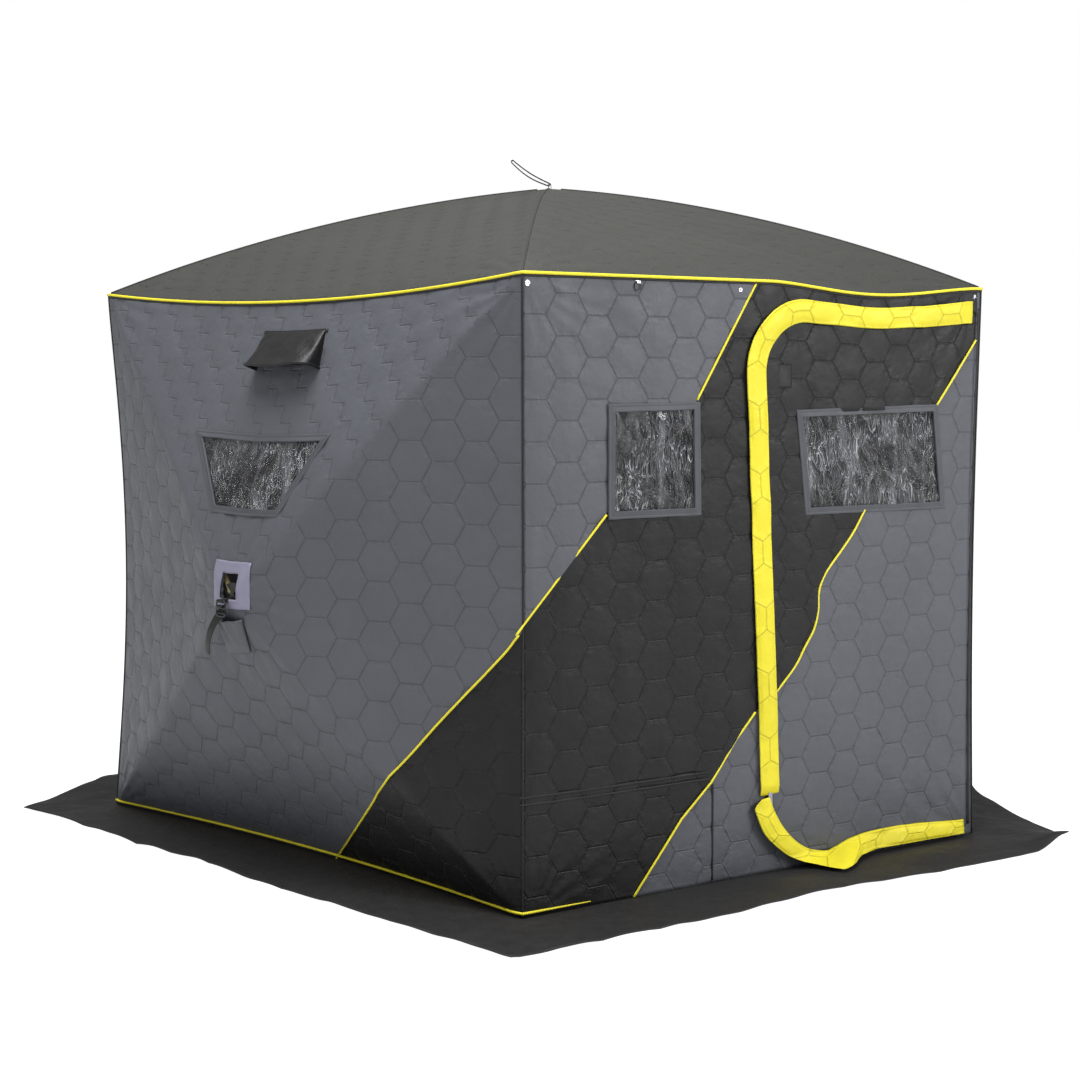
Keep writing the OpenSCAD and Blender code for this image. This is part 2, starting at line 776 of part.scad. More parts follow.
// Webbing handle that stands over the roof hub, leaning to the left of the door
module roof_pull_strap() {
    end_r = 6;
    frame_half = 22;
    frame_t = 6;
    frame_top = 24;
    strand_len = roof_strap_len - frame_top - end_r;
    color("black") translate([0, centre_y, roof_pin_z + roof_pivot_up]) rotate([0, 0, roof_strap_turn + 90])
        rotate([roof_strap_lean, 0, 0]) {
            rotate([0, 90, 0]) cylinder(r = strap_bar_r, h = 2 * frame_half, center = true);
            for (side = [-1, 1]) {
                translate([side * (frame_half - frame_t / 2) - frame_t / 2, -frame_t / 2, -4])
                    cube([frame_t, frame_t, frame_top + 2]);
            }
            translate([-frame_half + frame_t / 2, -frame_t / 2, frame_top - frame_t])
                cube([2 * frame_half - frame_t, frame_t, frame_t]);
            for (y = [-end_r, end_r - strap_t]) {
                translate([-strap_w / 2, y, frame_top]) cube([strap_w, strap_t, strand_len]);
            }
            translate([-strap_w / 2, 0, roof_strap_len - end_r]) rotate([0, 90, 0])
                cylinder(r = end_r, h = strap_w);
            translate([-strap_w / 2, -end_r, frame_top - 2]) cube([strap_w, 2 * end_r, strap_t]);
        }
}

snow_skirt();
hub_wall(1);  // left_wall
hub_wall(2);  // back_left_wall
hub_wall(3);  // back_right_wall
hub_wall(4);  // right_wall
door_wall();
roof_canopy();
door_panel();
door_window();
door_window_trim();
upper_storm_flap();
lower_storm_flap();
door_zipper_tape();
wall_zipper_tape();
upper_zipper_slider();
lower_zipper_slider();
wall_windows();
wall_window_trims();
vent_hood();
vent_screen();
top_corner_sockets();
bottom_corner_sockets();
eave_rivets();
eave_d_ring();
roof_hub();
roof_strap_anchor();
roof_pull_strap();
roof_pole(1);  // roof_pole_1
roof_pole(2);  // roof_pole_2
roof_pole(3);  // roof_pole_3
roof_pole(4);  // roof_pole_4
roof_pole(5);  // roof_pole_5
wall_hub(1);  // left_hub
wall_strap_anchor(1);  // left_strap_anchor
wall_pull_strap(1);  // left_pull_strap
wall_pole(1, 1);  // left_pole_1
wall_pole(1, 2);  // left_pole_2
wall_pole(1, 3);  // left_pole_3
wall_pole(1, 4);  // left_pole_4
wall_hub(2);  // back_left_hub
wall_strap_anchor(2);  // back_left_strap_anchor
wall_pull_strap(2);  // back_left_pull_strap
wall_pole(2, 1);  // back_left_pole_1
wall_pole(2, 2);  // back_left_pole_2
wall_pole(2, 3);  // back_left_pole_3
wall_pole(2, 4);  // back_left_pole_4
wall_hub(3);  // back_right_hub
wall_strap_anchor(3);  // back_right_strap_anchor
wall_pull_strap(3);  // back_right_pull_strap
wall_pole(3, 1);  // back_right_pole_1
wall_pole(3, 2);  // back_right_pole_2
wall_pole(3, 3);  // back_right_pole_3
wall_pole(3, 4);  // back_right_pole_4
wall_hub(4);  // right_hub
wall_strap_anchor(4);  // right_strap_anchor
wall_pull_strap(4);  // right_pull_strap
wall_pole(4, 1);  // right_pole_1
wall_pole(4, 2);  // right_pole_2
wall_pole(4, 3);  // right_pole_3
wall_pole(4, 4);  // right_pole_4
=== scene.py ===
import math

import bmesh
import bpy
import numpy as np
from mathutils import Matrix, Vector


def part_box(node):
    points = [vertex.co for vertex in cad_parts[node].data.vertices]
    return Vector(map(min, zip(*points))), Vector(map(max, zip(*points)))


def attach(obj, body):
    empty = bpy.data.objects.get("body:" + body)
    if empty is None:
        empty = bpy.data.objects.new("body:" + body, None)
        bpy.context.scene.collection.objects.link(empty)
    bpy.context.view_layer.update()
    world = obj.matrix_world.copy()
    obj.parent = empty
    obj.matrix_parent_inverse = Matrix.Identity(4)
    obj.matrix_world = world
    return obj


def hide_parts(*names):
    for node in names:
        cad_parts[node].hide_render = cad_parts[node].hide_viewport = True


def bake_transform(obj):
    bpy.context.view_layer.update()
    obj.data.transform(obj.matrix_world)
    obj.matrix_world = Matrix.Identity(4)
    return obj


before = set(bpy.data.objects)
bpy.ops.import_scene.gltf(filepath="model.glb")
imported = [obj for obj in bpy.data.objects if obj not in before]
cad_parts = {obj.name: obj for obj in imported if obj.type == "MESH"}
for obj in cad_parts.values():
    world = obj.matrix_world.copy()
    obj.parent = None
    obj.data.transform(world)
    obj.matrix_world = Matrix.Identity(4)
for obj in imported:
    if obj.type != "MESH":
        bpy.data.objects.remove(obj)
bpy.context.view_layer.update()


def mid(node):
    """Middle of a CAD node's box."""
    low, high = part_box(node)
    return (Vector(low) + Vector(high)) / 2


# ---------------------------------------------------------------- main dimensions, in metres

SEAM = 0.0005
EAVE_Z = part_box("door_wall")[1].z + SEAM
APEX_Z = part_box("roof_canopy")[1].z
CENTRE_Y = mid("roof_hub").y
HUB_Z = mid("left_hub").z
EAVE_R = 1.535
BASE_R = 1.553
PUSH_OUT = 0.261
ROOF_BOW = 0.056
WALL_T = 0.008
ROOF_T = 0.009
SKIRT_T = 0.004
SKIRT_W = 0.248
SKIRT_LAP = 0.014
HALF_DOOR = math.radians(65.2) / 2
HALF_HUB = (math.pi - HALF_DOOR) / 4
WALL_NAMES = {1: "left", 2: "back_left", 3: "back_right", 4: "right"}
ROOT = "shelter"

# How far each corner seam draws in at mid height, how far eaves, feet and gores sag, the height from
# which the door wall's dip shows, and how far an eave leans in as a share of its dip
SEAM_DRAW = (0.030, 0.045, 0.045, 0.045, 0.012)
EAVE_DIP = 0.050
DOOR_EAVE_DIP = 0.029
DIP_FROM_Z = 1.3
DIP_LEAN = 0.2
FOOT_DRAW = 0.055
GORE_SAG = 0.030
RIDGE_WIDTH = 0.018
RIM_SCALE = 0.93
FOOT_PIPING_Z, FOOT_PIPING_END_X = 0.018, -0.62

# Quilting: flat-top hexagons on the walls, stepped rows on the top facets and the roof
HEX_FLAT = 0.114
STEP_RUN, STEP_FALL, STEP_PITCH = 0.045, 0.057, 0.128
PUFF_HEIGHT, PUFF_REACH = 0.0014, 0.035
STITCH_DEPTH, STITCH_REACH = 0.0018, 0.0075

# Distance between the points of a sewn trim's path
TRIM_STEP = 0.012

# Cells of a sheet: along a gore, and from a hub to a wall's edge
GORE_CELLS, WALL_CELLS = 126, 90


# ---------------------------------------------------------------- camera

LENS = 53.3
CAMERA_PLACE = (-2.9008, -5.2000, 1.4861)
CAMERA_VIEW = (0.49064, 0.86544, -0.10140)


def add_camera():
    camera = bpy.data.cameras.new("camera")
    camera.lens = LENS
    camera.sensor_width = 36.0
    obj = bpy.data.objects.new("camera", camera)
    bpy.context.scene.collection.objects.link(obj)
    obj.location = CAMERA_PLACE
    obj.rotation_euler = Vector(CAMERA_VIEW).to_track_quat("-Z", "Y").to_euler()
    bpy.context.scene.camera = obj


add_camera()


# ---------------------------------------------------------------- small maths

def half_angle(k):
    """Half the angle that wall k takes up, seen from the middle."""
    return HALF_DOOR if k == 0 else HALF_HUB


def wall_dir(k):
    """Direction that wall k faces: 0 is the door wall, 1 to 4 go round from it clockwise."""
    return -math.pi / 2 if k == 0 else -math.pi / 2 - HALF_DOOR - 2 * HALF_HUB * (k - 0.5)


def corner_radius(z):
    """Distance of the corners from the middle at height z."""
    return BASE_R + (EAVE_R - BASE_R) * np.clip(z / EAVE_Z, 0, 1)


def half_width(k, z):
    """Half the width of wall k at height z."""
    return corner_radius(z) * math.sin(half_angle(k))


def to_row(k, x, y, z):
    """Points of a wall's own frame (x right seen from outside, y inward, z up) in the row frame."""
    t = wall_dir(k)
    out, right = (math.cos(t), math.sin(t)), (-math.sin(t), math.cos(t))
    x, y, z = np.broadcast_arrays(x, y, z)
    return np.stack([right[0] * x - out[0] * y, CENTRE_Y + right[1] * x - out[1] * y, z], axis=-1)


def soft_max(a, b, width):
    """The larger of two values, with a rounded change from one to the other."""
    h = np.clip(0.5 + 0.5 * (a - b) / width, 0, 1)
    return b * (1 - h) + a * h + width * h * (1 - h)


def smooth(t):
    """Smooth step from 0 to 1."""
    t = np.clip(t, 0, 1)
    return t * t * (3 - 2 * t)


def lattice_noise(p, seed):
    """Smooth value noise at points p (n, 3), from -1 to 1."""
    base = np.floor(p).astype(np.int64)
    f = p - base
    f = f * f * (3 - 2 * f)
    total = np.zeros(len(p))
    for corner in range(8):
        off = np.array([corner & 1, corner >> 1 & 1, corner >> 2 & 1])
        c = base + off
        h = (c[:, 0] * 73856093 ^ c[:, 1] * 19349663 ^ c[:, 2] * 83492791 ^ seed * 2654435) & 0x7FFFFFFF
        h = (h ^ (h >> 13)) * 1274126177 & 0x7FFFFFFF
        value = ((h >> 8) & 0xFFFF) / 32767.5 - 1
        total += value * np.prod(np.where(off == 1, f, 1 - f), axis=1)
    return total


def fractal(points, scale, seed, octaves=3):
    """Noise in octaves over an array of points, with features of about scale metres."""
    points = np.asarray(points, float)
    flat = points.reshape(-1, 3) / scale
    total = sum(lattice_noise(flat * 2 ** i + 17.3 * i, seed + i) * 0.5 ** i for i in range(octaves))
    return total.reshape(points.shape[:-1])


def run_of(path):
    """Length along a path at each of its points."""
    return np.concatenate([[0], np.cumsum(np.linalg.norm(np.diff(path, axis=0), axis=1))])


def unit(vectors):
    """Vectors drawn out or in to length 1."""
    return vectors / np.maximum(np.linalg.norm(vectors, axis=-1, keepdims=True), 1e-9)


def hex_edge(u, v):
    """Distance to the nearest edge of the hexagon quilting."""
    x, y = u / HEX_FLAT, v / HEX_FLAT
    step = math.sqrt(3.0)
    best = np.full(np.shape(x), 9.0)
    for ox, oy in ((0.0, 0.0), (step / 2, 0.5)):
        gx = np.abs(x - ox - step * np.round((x - ox) / step))
        gy = np.abs(y - oy - np.round(y - oy))
        best = np.minimum(best, np.maximum(gy, gx * step / 2 + gy / 2))
    return (0.5 - best) * HEX_FLAT


def step_edge(u, v):
    """Distance to the nearest line of the stepped quilting."""
    row = np.floor(-v / STEP_FALL)
    up, down = np.abs(v + STEP_FALL * row), np.abs(v + STEP_FALL * (row + 1))
    along = np.mod(u - STEP_RUN * (row + 1), STEP_PITCH)
    rise = np.minimum(along, STEP_PITCH - along)
    run_up = np.where(np.mod(along + STEP_RUN, STEP_PITCH) < STEP_RUN, up, 9.0)
    run_down = np.where(along < STEP_RUN, down, 9.0)
    return np.minimum(rise, np.minimum(run_up, run_down))


def quilt_puff(d):
    """Height of quilted cloth at a distance from a stitch line: a puffed cell with a drawn-in seam."""
    return PUFF_HEIGHT * smooth(d / PUFF_REACH) - STITCH_DEPTH * np.exp(-(d / STITCH_REACH) ** 2)


# ---------------------------------------------------------------- the shelter's surfaces

def seam_draw(corner, z):
    """How far a corner seam is drawn towards the middle at height z."""
    v = np.clip(z / EAVE_Z, 0, 1)
    return SEAM_DRAW[corner] * (4 * v * (1 - v)) ** 1.3


def eave_dip(k, s):
    """How far the eave of wall k hangs below the straight line between its corners."""
    if k == 0:
        return DOOR_EAVE_DIP * np.sin(math.pi * np.clip(s / 0.98, 0, 1)) ** 1.5
    return EAVE_DIP * (1 - s * s)


def foot_draw(k, s):
    """How far the foot of wall k is drawn in at a share of its half width."""
    return (0.0 if k == 0 else FOOT_DRAW) * (1 - s * s)


def rise_share(z):
    """0 at hub height, 1 at the eave and at the foot."""
    return np.where(z > HUB_Z, (z - HUB_Z) / (EAVE_Z - HUB_Z), (HUB_Z - z) / HUB_Z)


def hub_wall_at(k):
    """The outer face of hub wall k, as a function of x and height in the wall's frame."""
    def surface(x, z):
        half = half_angle(k)
        radius = corner_radius(z)
        s = x / half_width(k, z)
        tau, side = rise_share(z), np.abs(s)
        out = PUSH_OUT * (1 - soft_max(side, tau, RIDGE_WIDTH))
        corner = np.where(s < 0, seam_draw(k, z), seam_draw(k - 1, z))
        beside = np.clip((side - tau) / np.maximum(1 - tau, 1e-4), 0, 1) ** 1.5
        across = np.clip((tau - side) / np.maximum(1 - side, 1e-4), 0, 1) ** 1.5
        draw = corner * beside
        above = z > HUB_Z
        foot = np.where(above, 0, foot_draw(k, np.clip(s, -1, 1)) * across)
        dip = np.where(above, eave_dip(k, np.clip(s, -1, 1)) * across, 0)
        y = (draw - radius) * math.cos(half) - out + foot + DIP_LEAN * dip
        return to_row(k, x - np.sign(s) * math.sin(half) * draw, y, z - dip)
    return surface


def door_at(x, z):
    """The outer face of the door wall and the door, as a function of x and height."""
    s = x / half_width(0, z)
    draw = np.where(s < 0, seam_draw(0, z), seam_draw(4, z)) * np.clip(np.abs(s), 0, 1) ** 6
    dip = eave_dip(0, s) * smooth((z - DIP_FROM_Z) / (EAVE_Z - DIP_FROM_Z)) ** 2
    y = (draw - corner_radius(z)) * math.cos(HALF_DOOR) + DIP_LEAN * dip
    return to_row(0, x - np.sign(s) * math.sin(HALF_DOOR) * draw, y, z - dip)


ROOF_CHORD = math.hypot(EAVE_R, APEX_Z - EAVE_Z)
ROOF_R = (ROOF_CHORD ** 2 / 4 + ROOF_BOW ** 2) / (2 * ROOF_BOW)
ROOF_TILT = math.atan2(APEX_Z - EAVE_Z, EAVE_R)
ROOF_C = (EAVE_R / 2 - (ROOF_R - ROOF_BOW) * math.sin(ROOF_TILT),
          (EAVE_Z + APEX_Z) / 2 - (ROOF_R - ROOF_BOW) * math.cos(ROOF_TILT))


def roof_z(r):
    """Height of the ridges at a distance from the middle."""
    return ROOF_C[1] + np.sqrt(ROOF_R ** 2 - (r - ROOF_C[0]) ** 2)


def roof_at(k):
    """The roof over wall k: s is -1 to 1 between its two ridges and rho 0 at the apex to 1 at the eave."""
    def surface(s, rho):
        half = half_angle(k)
        r = rho * EAVE_R
        bow = 1 - s * s
        sag = GORE_SAG * bow * np.sin(math.pi * np.clip(rho, 0, 1)) ** 1.2 * (0.5 if k == 0 else 1)
        dip = eave_dip(k, s) * rho ** 4
        return to_row(k, r * s * math.sin(half), -r * math.cos(half) + DIP_LEAN * dip, roof_z(r) - sag - dip)
    return surface


def lifted(surface, ab, out, e=0.003):
    """Points at a distance out from a surface, at the places ab on it."""
    a, b = ab[..., 0], ab[..., 1]
    normal = np.cross(surface(a + e, b) - surface(a - e, b), surface(a, b + e) - surface(a, b - e))
    normal /= np.linalg.norm(normal, axis=-1, keepdims=True)
    return surface(a, b) + normal * np.asarray(out)[..., None]


# ---------------------------------------------------------------- mesh building

def new_object(name, points, faces, uv, looks):
    """A mesh object from points, faces and one uv pair for each point; unused points are dropped.
    looks names its material, or its outer and inner ones."""
    points = np.asarray(points, float).reshape(-1, 3)
    used = np.zeros(len(points), bool)
    used[np.concatenate([np.asarray(f).ravel() for f in faces])] = True
    index = np.cumsum(used) - 1
    mesh = bpy.data.meshes.new(name)
    mesh.from_pydata(points[used].tolist(), [], [[int(index[i]) for i in f] for f in faces])
    loops = np.empty(len(mesh.loops), np.int32)
    mesh.loops.foreach_get("vertex_index", loops)
    uv = np.asarray(uv, float).reshape(-1, 2)[used]
    mesh.uv_layers.new(name="UVMap").data.foreach_set("uv", uv[loops].ravel())
    mesh.polygons.foreach_set("use_smooth", [True] * len(mesh.polygons))
    mesh.update()
    obj = bpy.data.objects.new(name, mesh)
    bpy.context.scene.collection.objects.link(obj)
    for look in (looks,) if isinstance(looks, str) else looks:
        mesh.materials.append(MATERIALS[look])
    return obj, used


def grid_faces(rows, cols, keep=None, closed_cols=False, closed_rows=False):
    """Quads of a grid of points; keep says which cells stay."""
    i, j = np.meshgrid(np.arange(rows - (not closed_rows)), np.arange(cols - (not closed_cols)), indexing="ij")
    i2, j2 = (i + 1) % rows, (j + 1) % cols
    quads = np.stack([i * cols + j, i * cols + j2, i2 * cols + j2, i2 * cols + j], axis=-1).reshape(-1, 4)
    return quads[keep.ravel()] if keep is not None else quads


def sweep_faces(rows, cols, closed=False):
    """Faces of a closed section swept along a path, capped at both ends unless the path is closed."""
    faces = grid_faces(rows, cols, closed_cols=True, closed_rows=closed).tolist()
    if not closed:
        faces += [list(range(cols))[::-1], list(range((rows - 1) * cols, rows * cols))]
    return faces


def sweep_uv(path, around):
    """Texture places of a swept section: the length along its path, and the distance round it."""
    return np.stack(np.broadcast_arrays(run_of(path)[:, None], np.asarray(around)[None, :]), axis=-1)


def skin(name, surface, ab, out, faces, looks, uv=None, crumple=None):
    """A piece shaped over a surface, and the place ab of each of its points.
    crumple is the size, seed, octaves and height of noise that it gets."""
    p = lifted(surface, ab, np.broadcast_to(out, ab.shape[:2]))
    if crumple:
        *kind, height = crumple
        p += fractal(p, *kind)[..., None] * height
    obj, used = new_object(name, p, faces, ab if uv is None else uv, looks)
    return obj, ab.reshape(-1, 2)[used]


def normals_of(p):
    """Unit normals of a grid of points."""
    return unit(np.cross(np.gradient(p, axis=1), np.gradient(p, axis=0)))


def thicken(obj, thickness, inner=None):
    """Makes a sheet solid, inward from its face; inner is the place of the inside's material."""
    mod = obj.modifiers.new("thickness", "SOLIDIFY")
    mod.thickness = thickness
    mod.offset = -1.0
    mod.use_even_offset = False
    if inner is not None:
        mod.material_offset = inner
    return mod


def weld(obj, distance):
    """Joins points that lie together, such as those along the edges of a sheet's parts."""
    mesh = bmesh.new()
    mesh.from_mesh(obj.data)
    bmesh.ops.remove_doubles(mesh, verts=mesh.verts, dist=distance)
    mesh.to_mesh(obj.data)
    mesh.free()


def blend_by(obj):
    """Bakes a piece's placement into its points."""
    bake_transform(obj)


def on_hub_wall():
    """The mount of a piece that is sewn to a hub wall: it bakes the piece's placement into its points."""
    def mount(obj, ab):
        blend_by(obj)
    return mount


def on_roof(obj, weights):
    """The mount of a piece of the roof; weights, each point's share of the hub's drop, is not used."""
    blend_by(obj)


def on_door(obj, _):
    """The mount of a piece of the door: it bakes the piece's placement into its points."""
    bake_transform(obj)


def finish_piece(made, mount, node=None, thickness=None, inner=None):
    """Hands a piece to its body or mount, thickens it when asked, and hides the CAD node that it stands for.
    made is an object, or an object and what its mount needs; mount is a body's name or a function."""
    obj, places = made if isinstance(made, tuple) else (made, None)
    if isinstance(mount, str):
        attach(obj, mount)
    else:
        mount(obj, places)
    if thickness:
        thicken(obj, thickness, inner)
    if node:
        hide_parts(node)
    return obj


def resample(points, step):
    """Points along a polyline about step apart, with its corners kept."""
    pts = [np.asarray(p, float) for p in points]
    out = [pts[0]]
    for a, b in zip(pts, pts[1:]):
        n = max(1, int(round(np.linalg.norm(b - a) / step)))
        out += [a + (b - a) * i / n for i in range(1, n + 1)]
    return np.array(out)


def curve_through(points, step):
    """A smooth curve through 2-D or 3-D points, with a point about every step (Catmull-Rom)."""
    p = np.array([points[0], *points, points[-1]], float)
    out = []
    for a, b, c, d in zip(p, p[1:], p[2:], p[3:]):
        n = max(2, int(np.linalg.norm(c - b) / step))
        t = (np.arange(n) / n)[:, None]
        out.append(0.5 * (2 * b + (c - a) * t + (2 * a - 5 * b + 4 * c - d) * t ** 2
                          + (3 * b - a - 3 * c + d) * t ** 3))
    return np.vstack(out + [p[-1:]])


def side_of(path):
    """Unit left-hand normals of a 2-D path."""
    ext = np.vstack([2 * path[:1] - path[1:2], path, 2 * path[-1:] - path[-2:-1]])
    d = unit(ext[2:] - ext[:-2])
    return np.stack([-d[:, 1], d[:, 0]], axis=1)


def strip(name, surface, path, profile, look):
    """Sweeps a closed profile of (across, out) pairs along a path of places on a surface."""
    across, out = np.transpose(profile)
    ab = path[:, None] + side_of(path)[:, None] * across[None, :, None]
    rows, cols = ab.shape[:2]
    return skin(name, surface, ab, out, sweep_faces(rows, cols), look, sweep_uv(path, np.arange(cols) * 0.002))


def round_profile(radius, centre=0.0, sides=8):
    """A round section that stands on its path."""
    a = np.arange(sides) / sides * 2 * math.pi
    return [(radius * math.sin(t), centre + radius * math.cos(t)) for t in a]


def flat_profile(width, thickness, base=0.0):
    """A flat band's section with rounded edges, centred on the path."""
    w, t = width / 2, thickness
    return [(-w, base), (-w, base + 0.6 * t), (-w + 0.15 * width, base + t), (0, base + t),
            (w - 0.15 * width, base + t), (w, base + 0.6 * t), (w, base)]


# ---------------------------------------------------------------- materials

class Shader:
    """A material's nodes, with short calls for the ones used here."""

    def __init__(self, name):
        self.mat = bpy.data.materials.new(name)
        self.mat.use_nodes = True
        self.tree = self.mat.node_tree
        self.tree.nodes.clear()
        self.out = self.add("ShaderNodeOutputMaterial")
        self.bsdf = self.add("ShaderNodeBsdfPrincipled")
        self.tree.links.new(self.bsdf.outputs[0], self.out.inputs[0])

    def add(self, kind, *inputs, **props):
        node = self.tree.nodes.new(kind)
        for key, value in props.items():
            setattr(node, key, value)
        for i, value in enumerate(inputs):
            if isinstance(value, bpy.types.NodeSocket):
                self.tree.links.new(value, node.inputs[i])
            elif value is not None:
                node.inputs[i].default_value = value
        return node

    def math(self, op, a, b=None, c=None):
        return self.add("ShaderNodeMath", a, b, c, operation=op).outputs[0]

    def mul(self, a, b):
        return self.math("MULTIPLY", a, b)

    def minus(self, a, b):
        return self.math("SUBTRACT", a, b)

    def vec(self, op, a, b=None, c=None):
        node = self.add("ShaderNodeVectorMath", a, b, c, operation=op)
        return node.outputs["Value"] if op in ("DOT_PRODUCT", "LENGTH") else node.outputs[0]

    def uv(self):
        return self.add("ShaderNodeUVMap", uv_map="UVMap").outputs[0]

    def position(self):
        return self.add("ShaderNodeTexCoord").outputs["Object"]

    def noise(self, at, scale, detail=2.0, rough=0.5):
        node = self.add("ShaderNodeTexNoise", at)
        node.inputs["Scale"].default_value = scale
        node.inputs["Detail"].default_value = detail
        node.inputs["Roughness"].default_value = rough
        return node.outputs["Fac"]

    def ramp(self, value, low, high, to_low=0.0, to_high=1.0):
        node = self.add("ShaderNodeMapRange", value, low, high, to_low, to_high)
        return node.outputs[0]

    def mix(self, fac, a, b):
        node = self.add("ShaderNodeMix", data_type="RGBA")
        for socket, value in ((node.inputs[0], fac), (node.inputs[6], a), (node.inputs[7], b)):
            if isinstance(value, bpy.types.NodeSocket):
                self.tree.links.new(value, socket)
            else:
                socket.default_value = value if not isinstance(value, tuple) else (*value, 1.0)[:4]
        return node.outputs[2]

    def bump(self, height, strength, distance, normal=None):
        node = self.add("ShaderNodeBump")
        node.inputs["Strength"].default_value = strength
        node.inputs["Distance"].default_value = distance
        self.tree.links.new(height, node.inputs["Height"])
        if normal is not None:
            self.tree.links.new(normal, node.inputs["Normal"])
        return node.outputs[0]

    def vary(self, at, scale, detail, low, high, rough=0.5):
        """Noise spread over the range from low to high."""
        return self.ramp(self.noise(at, scale, detail, rough), 0.3, 0.7, low, high)

    def scaled(self, colour, factor):
        node = self.add("ShaderNodeVectorMath", colour, operation="SCALE")
        self.tree.links.new(factor, node.inputs["Scale"])
        return node.outputs[0]

    def finish(self, colour, roughness, normal=None, sheen=0.0, specular=0.5, metallic=0.0, coat=0.0):
        for socket, value in (("Base Color", colour), ("Roughness", roughness)):
            if isinstance(value, bpy.types.NodeSocket):
                self.tree.links.new(value, self.bsdf.inputs[socket])
            else:
                self.bsdf.inputs[socket].default_value = (*value, 1.0) if isinstance(value, tuple) else value
        if normal is not None:
            self.tree.links.new(normal, self.bsdf.inputs["Normal"])
        self.bsdf.inputs["Sheen Weight"].default_value = sheen
        self.bsdf.inputs["Sheen Roughness"].default_value = 0.4
        self.bsdf.inputs["Specular IOR Level"].default_value = specular
        self.bsdf.inputs["Metallic"].default_value = metallic
        self.bsdf.inputs["Coat Weight"].default_value = coat
        return self.mat


def srgb(r, g, b):
    """Linear colour from sRGB values of 0 to 255."""
    def one(c):
        c /= 255
        return c / 12.92 if c <= 0.04045 else ((c + 0.055) / 1.055) ** 2.4
    return one(r), one(g), one(b)


GREY = srgb(76, 78, 84)
BLACK = srgb(12, 12, 14)
ROOF = srgb(45, 45, 42)
YELLOW = srgb(206, 194, 38)
LILAC = srgb(116, 114, 132)


def hex_lines(s, uv):
    """Distance in metres to the hexagon quilting's stitch lines."""
    step = HEX_FLAT * math.sqrt(3.0)
    p = s.vec("MULTIPLY", uv, (1, 1, 0))
    cell = (step, HEX_FLAT, 1.0)
    dists = []
    for offset in ((0, 0, 0), (step / 2, HEX_FLAT / 2, 0)):
        q = s.vec("SUBTRACT", p, offset)
        q = s.vec("ADD", s.vec("DIVIDE", q, cell), (0.5, 0.5, 0))
        q = s.vec("SUBTRACT", s.vec("FRACTION", q), (0.5, 0.5, 0))
        q = s.vec("ABSOLUTE", s.vec("MULTIPLY", q, cell))
        slanted = s.vec("DOT_PRODUCT", q, (math.sqrt(3) / 2, 0.5, 0))
        flat = s.vec("DOT_PRODUCT", q, (0, 1, 0))
        dists.append(s.math("MAXIMUM", slanted, flat))
    return s.minus(HEX_FLAT / 2, s.math("MINIMUM", *dists))


def step_lines(s, uv):
    """Distance in metres to the stepped quilting's stitch lines."""
    split = s.add("ShaderNodeSeparateXYZ", uv)
    u, v = split.outputs[0], split.outputs[1]
    down_v = s.math("DIVIDE", s.mul(v, -1.0), STEP_FALL)
    row = s.math("FLOOR", down_v)
    part = s.mul(s.minus(down_v, row), STEP_FALL)
    shift = s.mul(s.math("ADD", row, 1.0), STEP_RUN)
    along = s.math("FLOORED_MODULO", s.minus(u, shift), STEP_PITCH)
    rise = s.math("MINIMUM", along, s.minus(STEP_PITCH, along))
    on_down = s.math("LESS_THAN", along, STEP_RUN)
    on_up = s.math("GREATER_THAN", along, STEP_PITCH - STEP_RUN)
    to_down = s.math("ADD", s.minus(STEP_FALL, part), s.minus(1.0, on_down))
    to_up = s.math("ADD", part, s.minus(1.0, on_up))
    return s.math("MINIMUM", rise, s.math("MINIMUM", to_down, to_up))


def weave(s, at, scale=420.0):
    """Fine plain weave as a height from 0 to 1."""
    split = s.add("ShaderNodeSeparateXYZ", at)
    warp = s.math("SINE", s.mul(split.outputs[0], 2 * math.pi * scale))
    weft = s.math("SINE", s.mul(split.outputs[1], 2 * math.pi * scale))
    return s.mul(warp, weft)


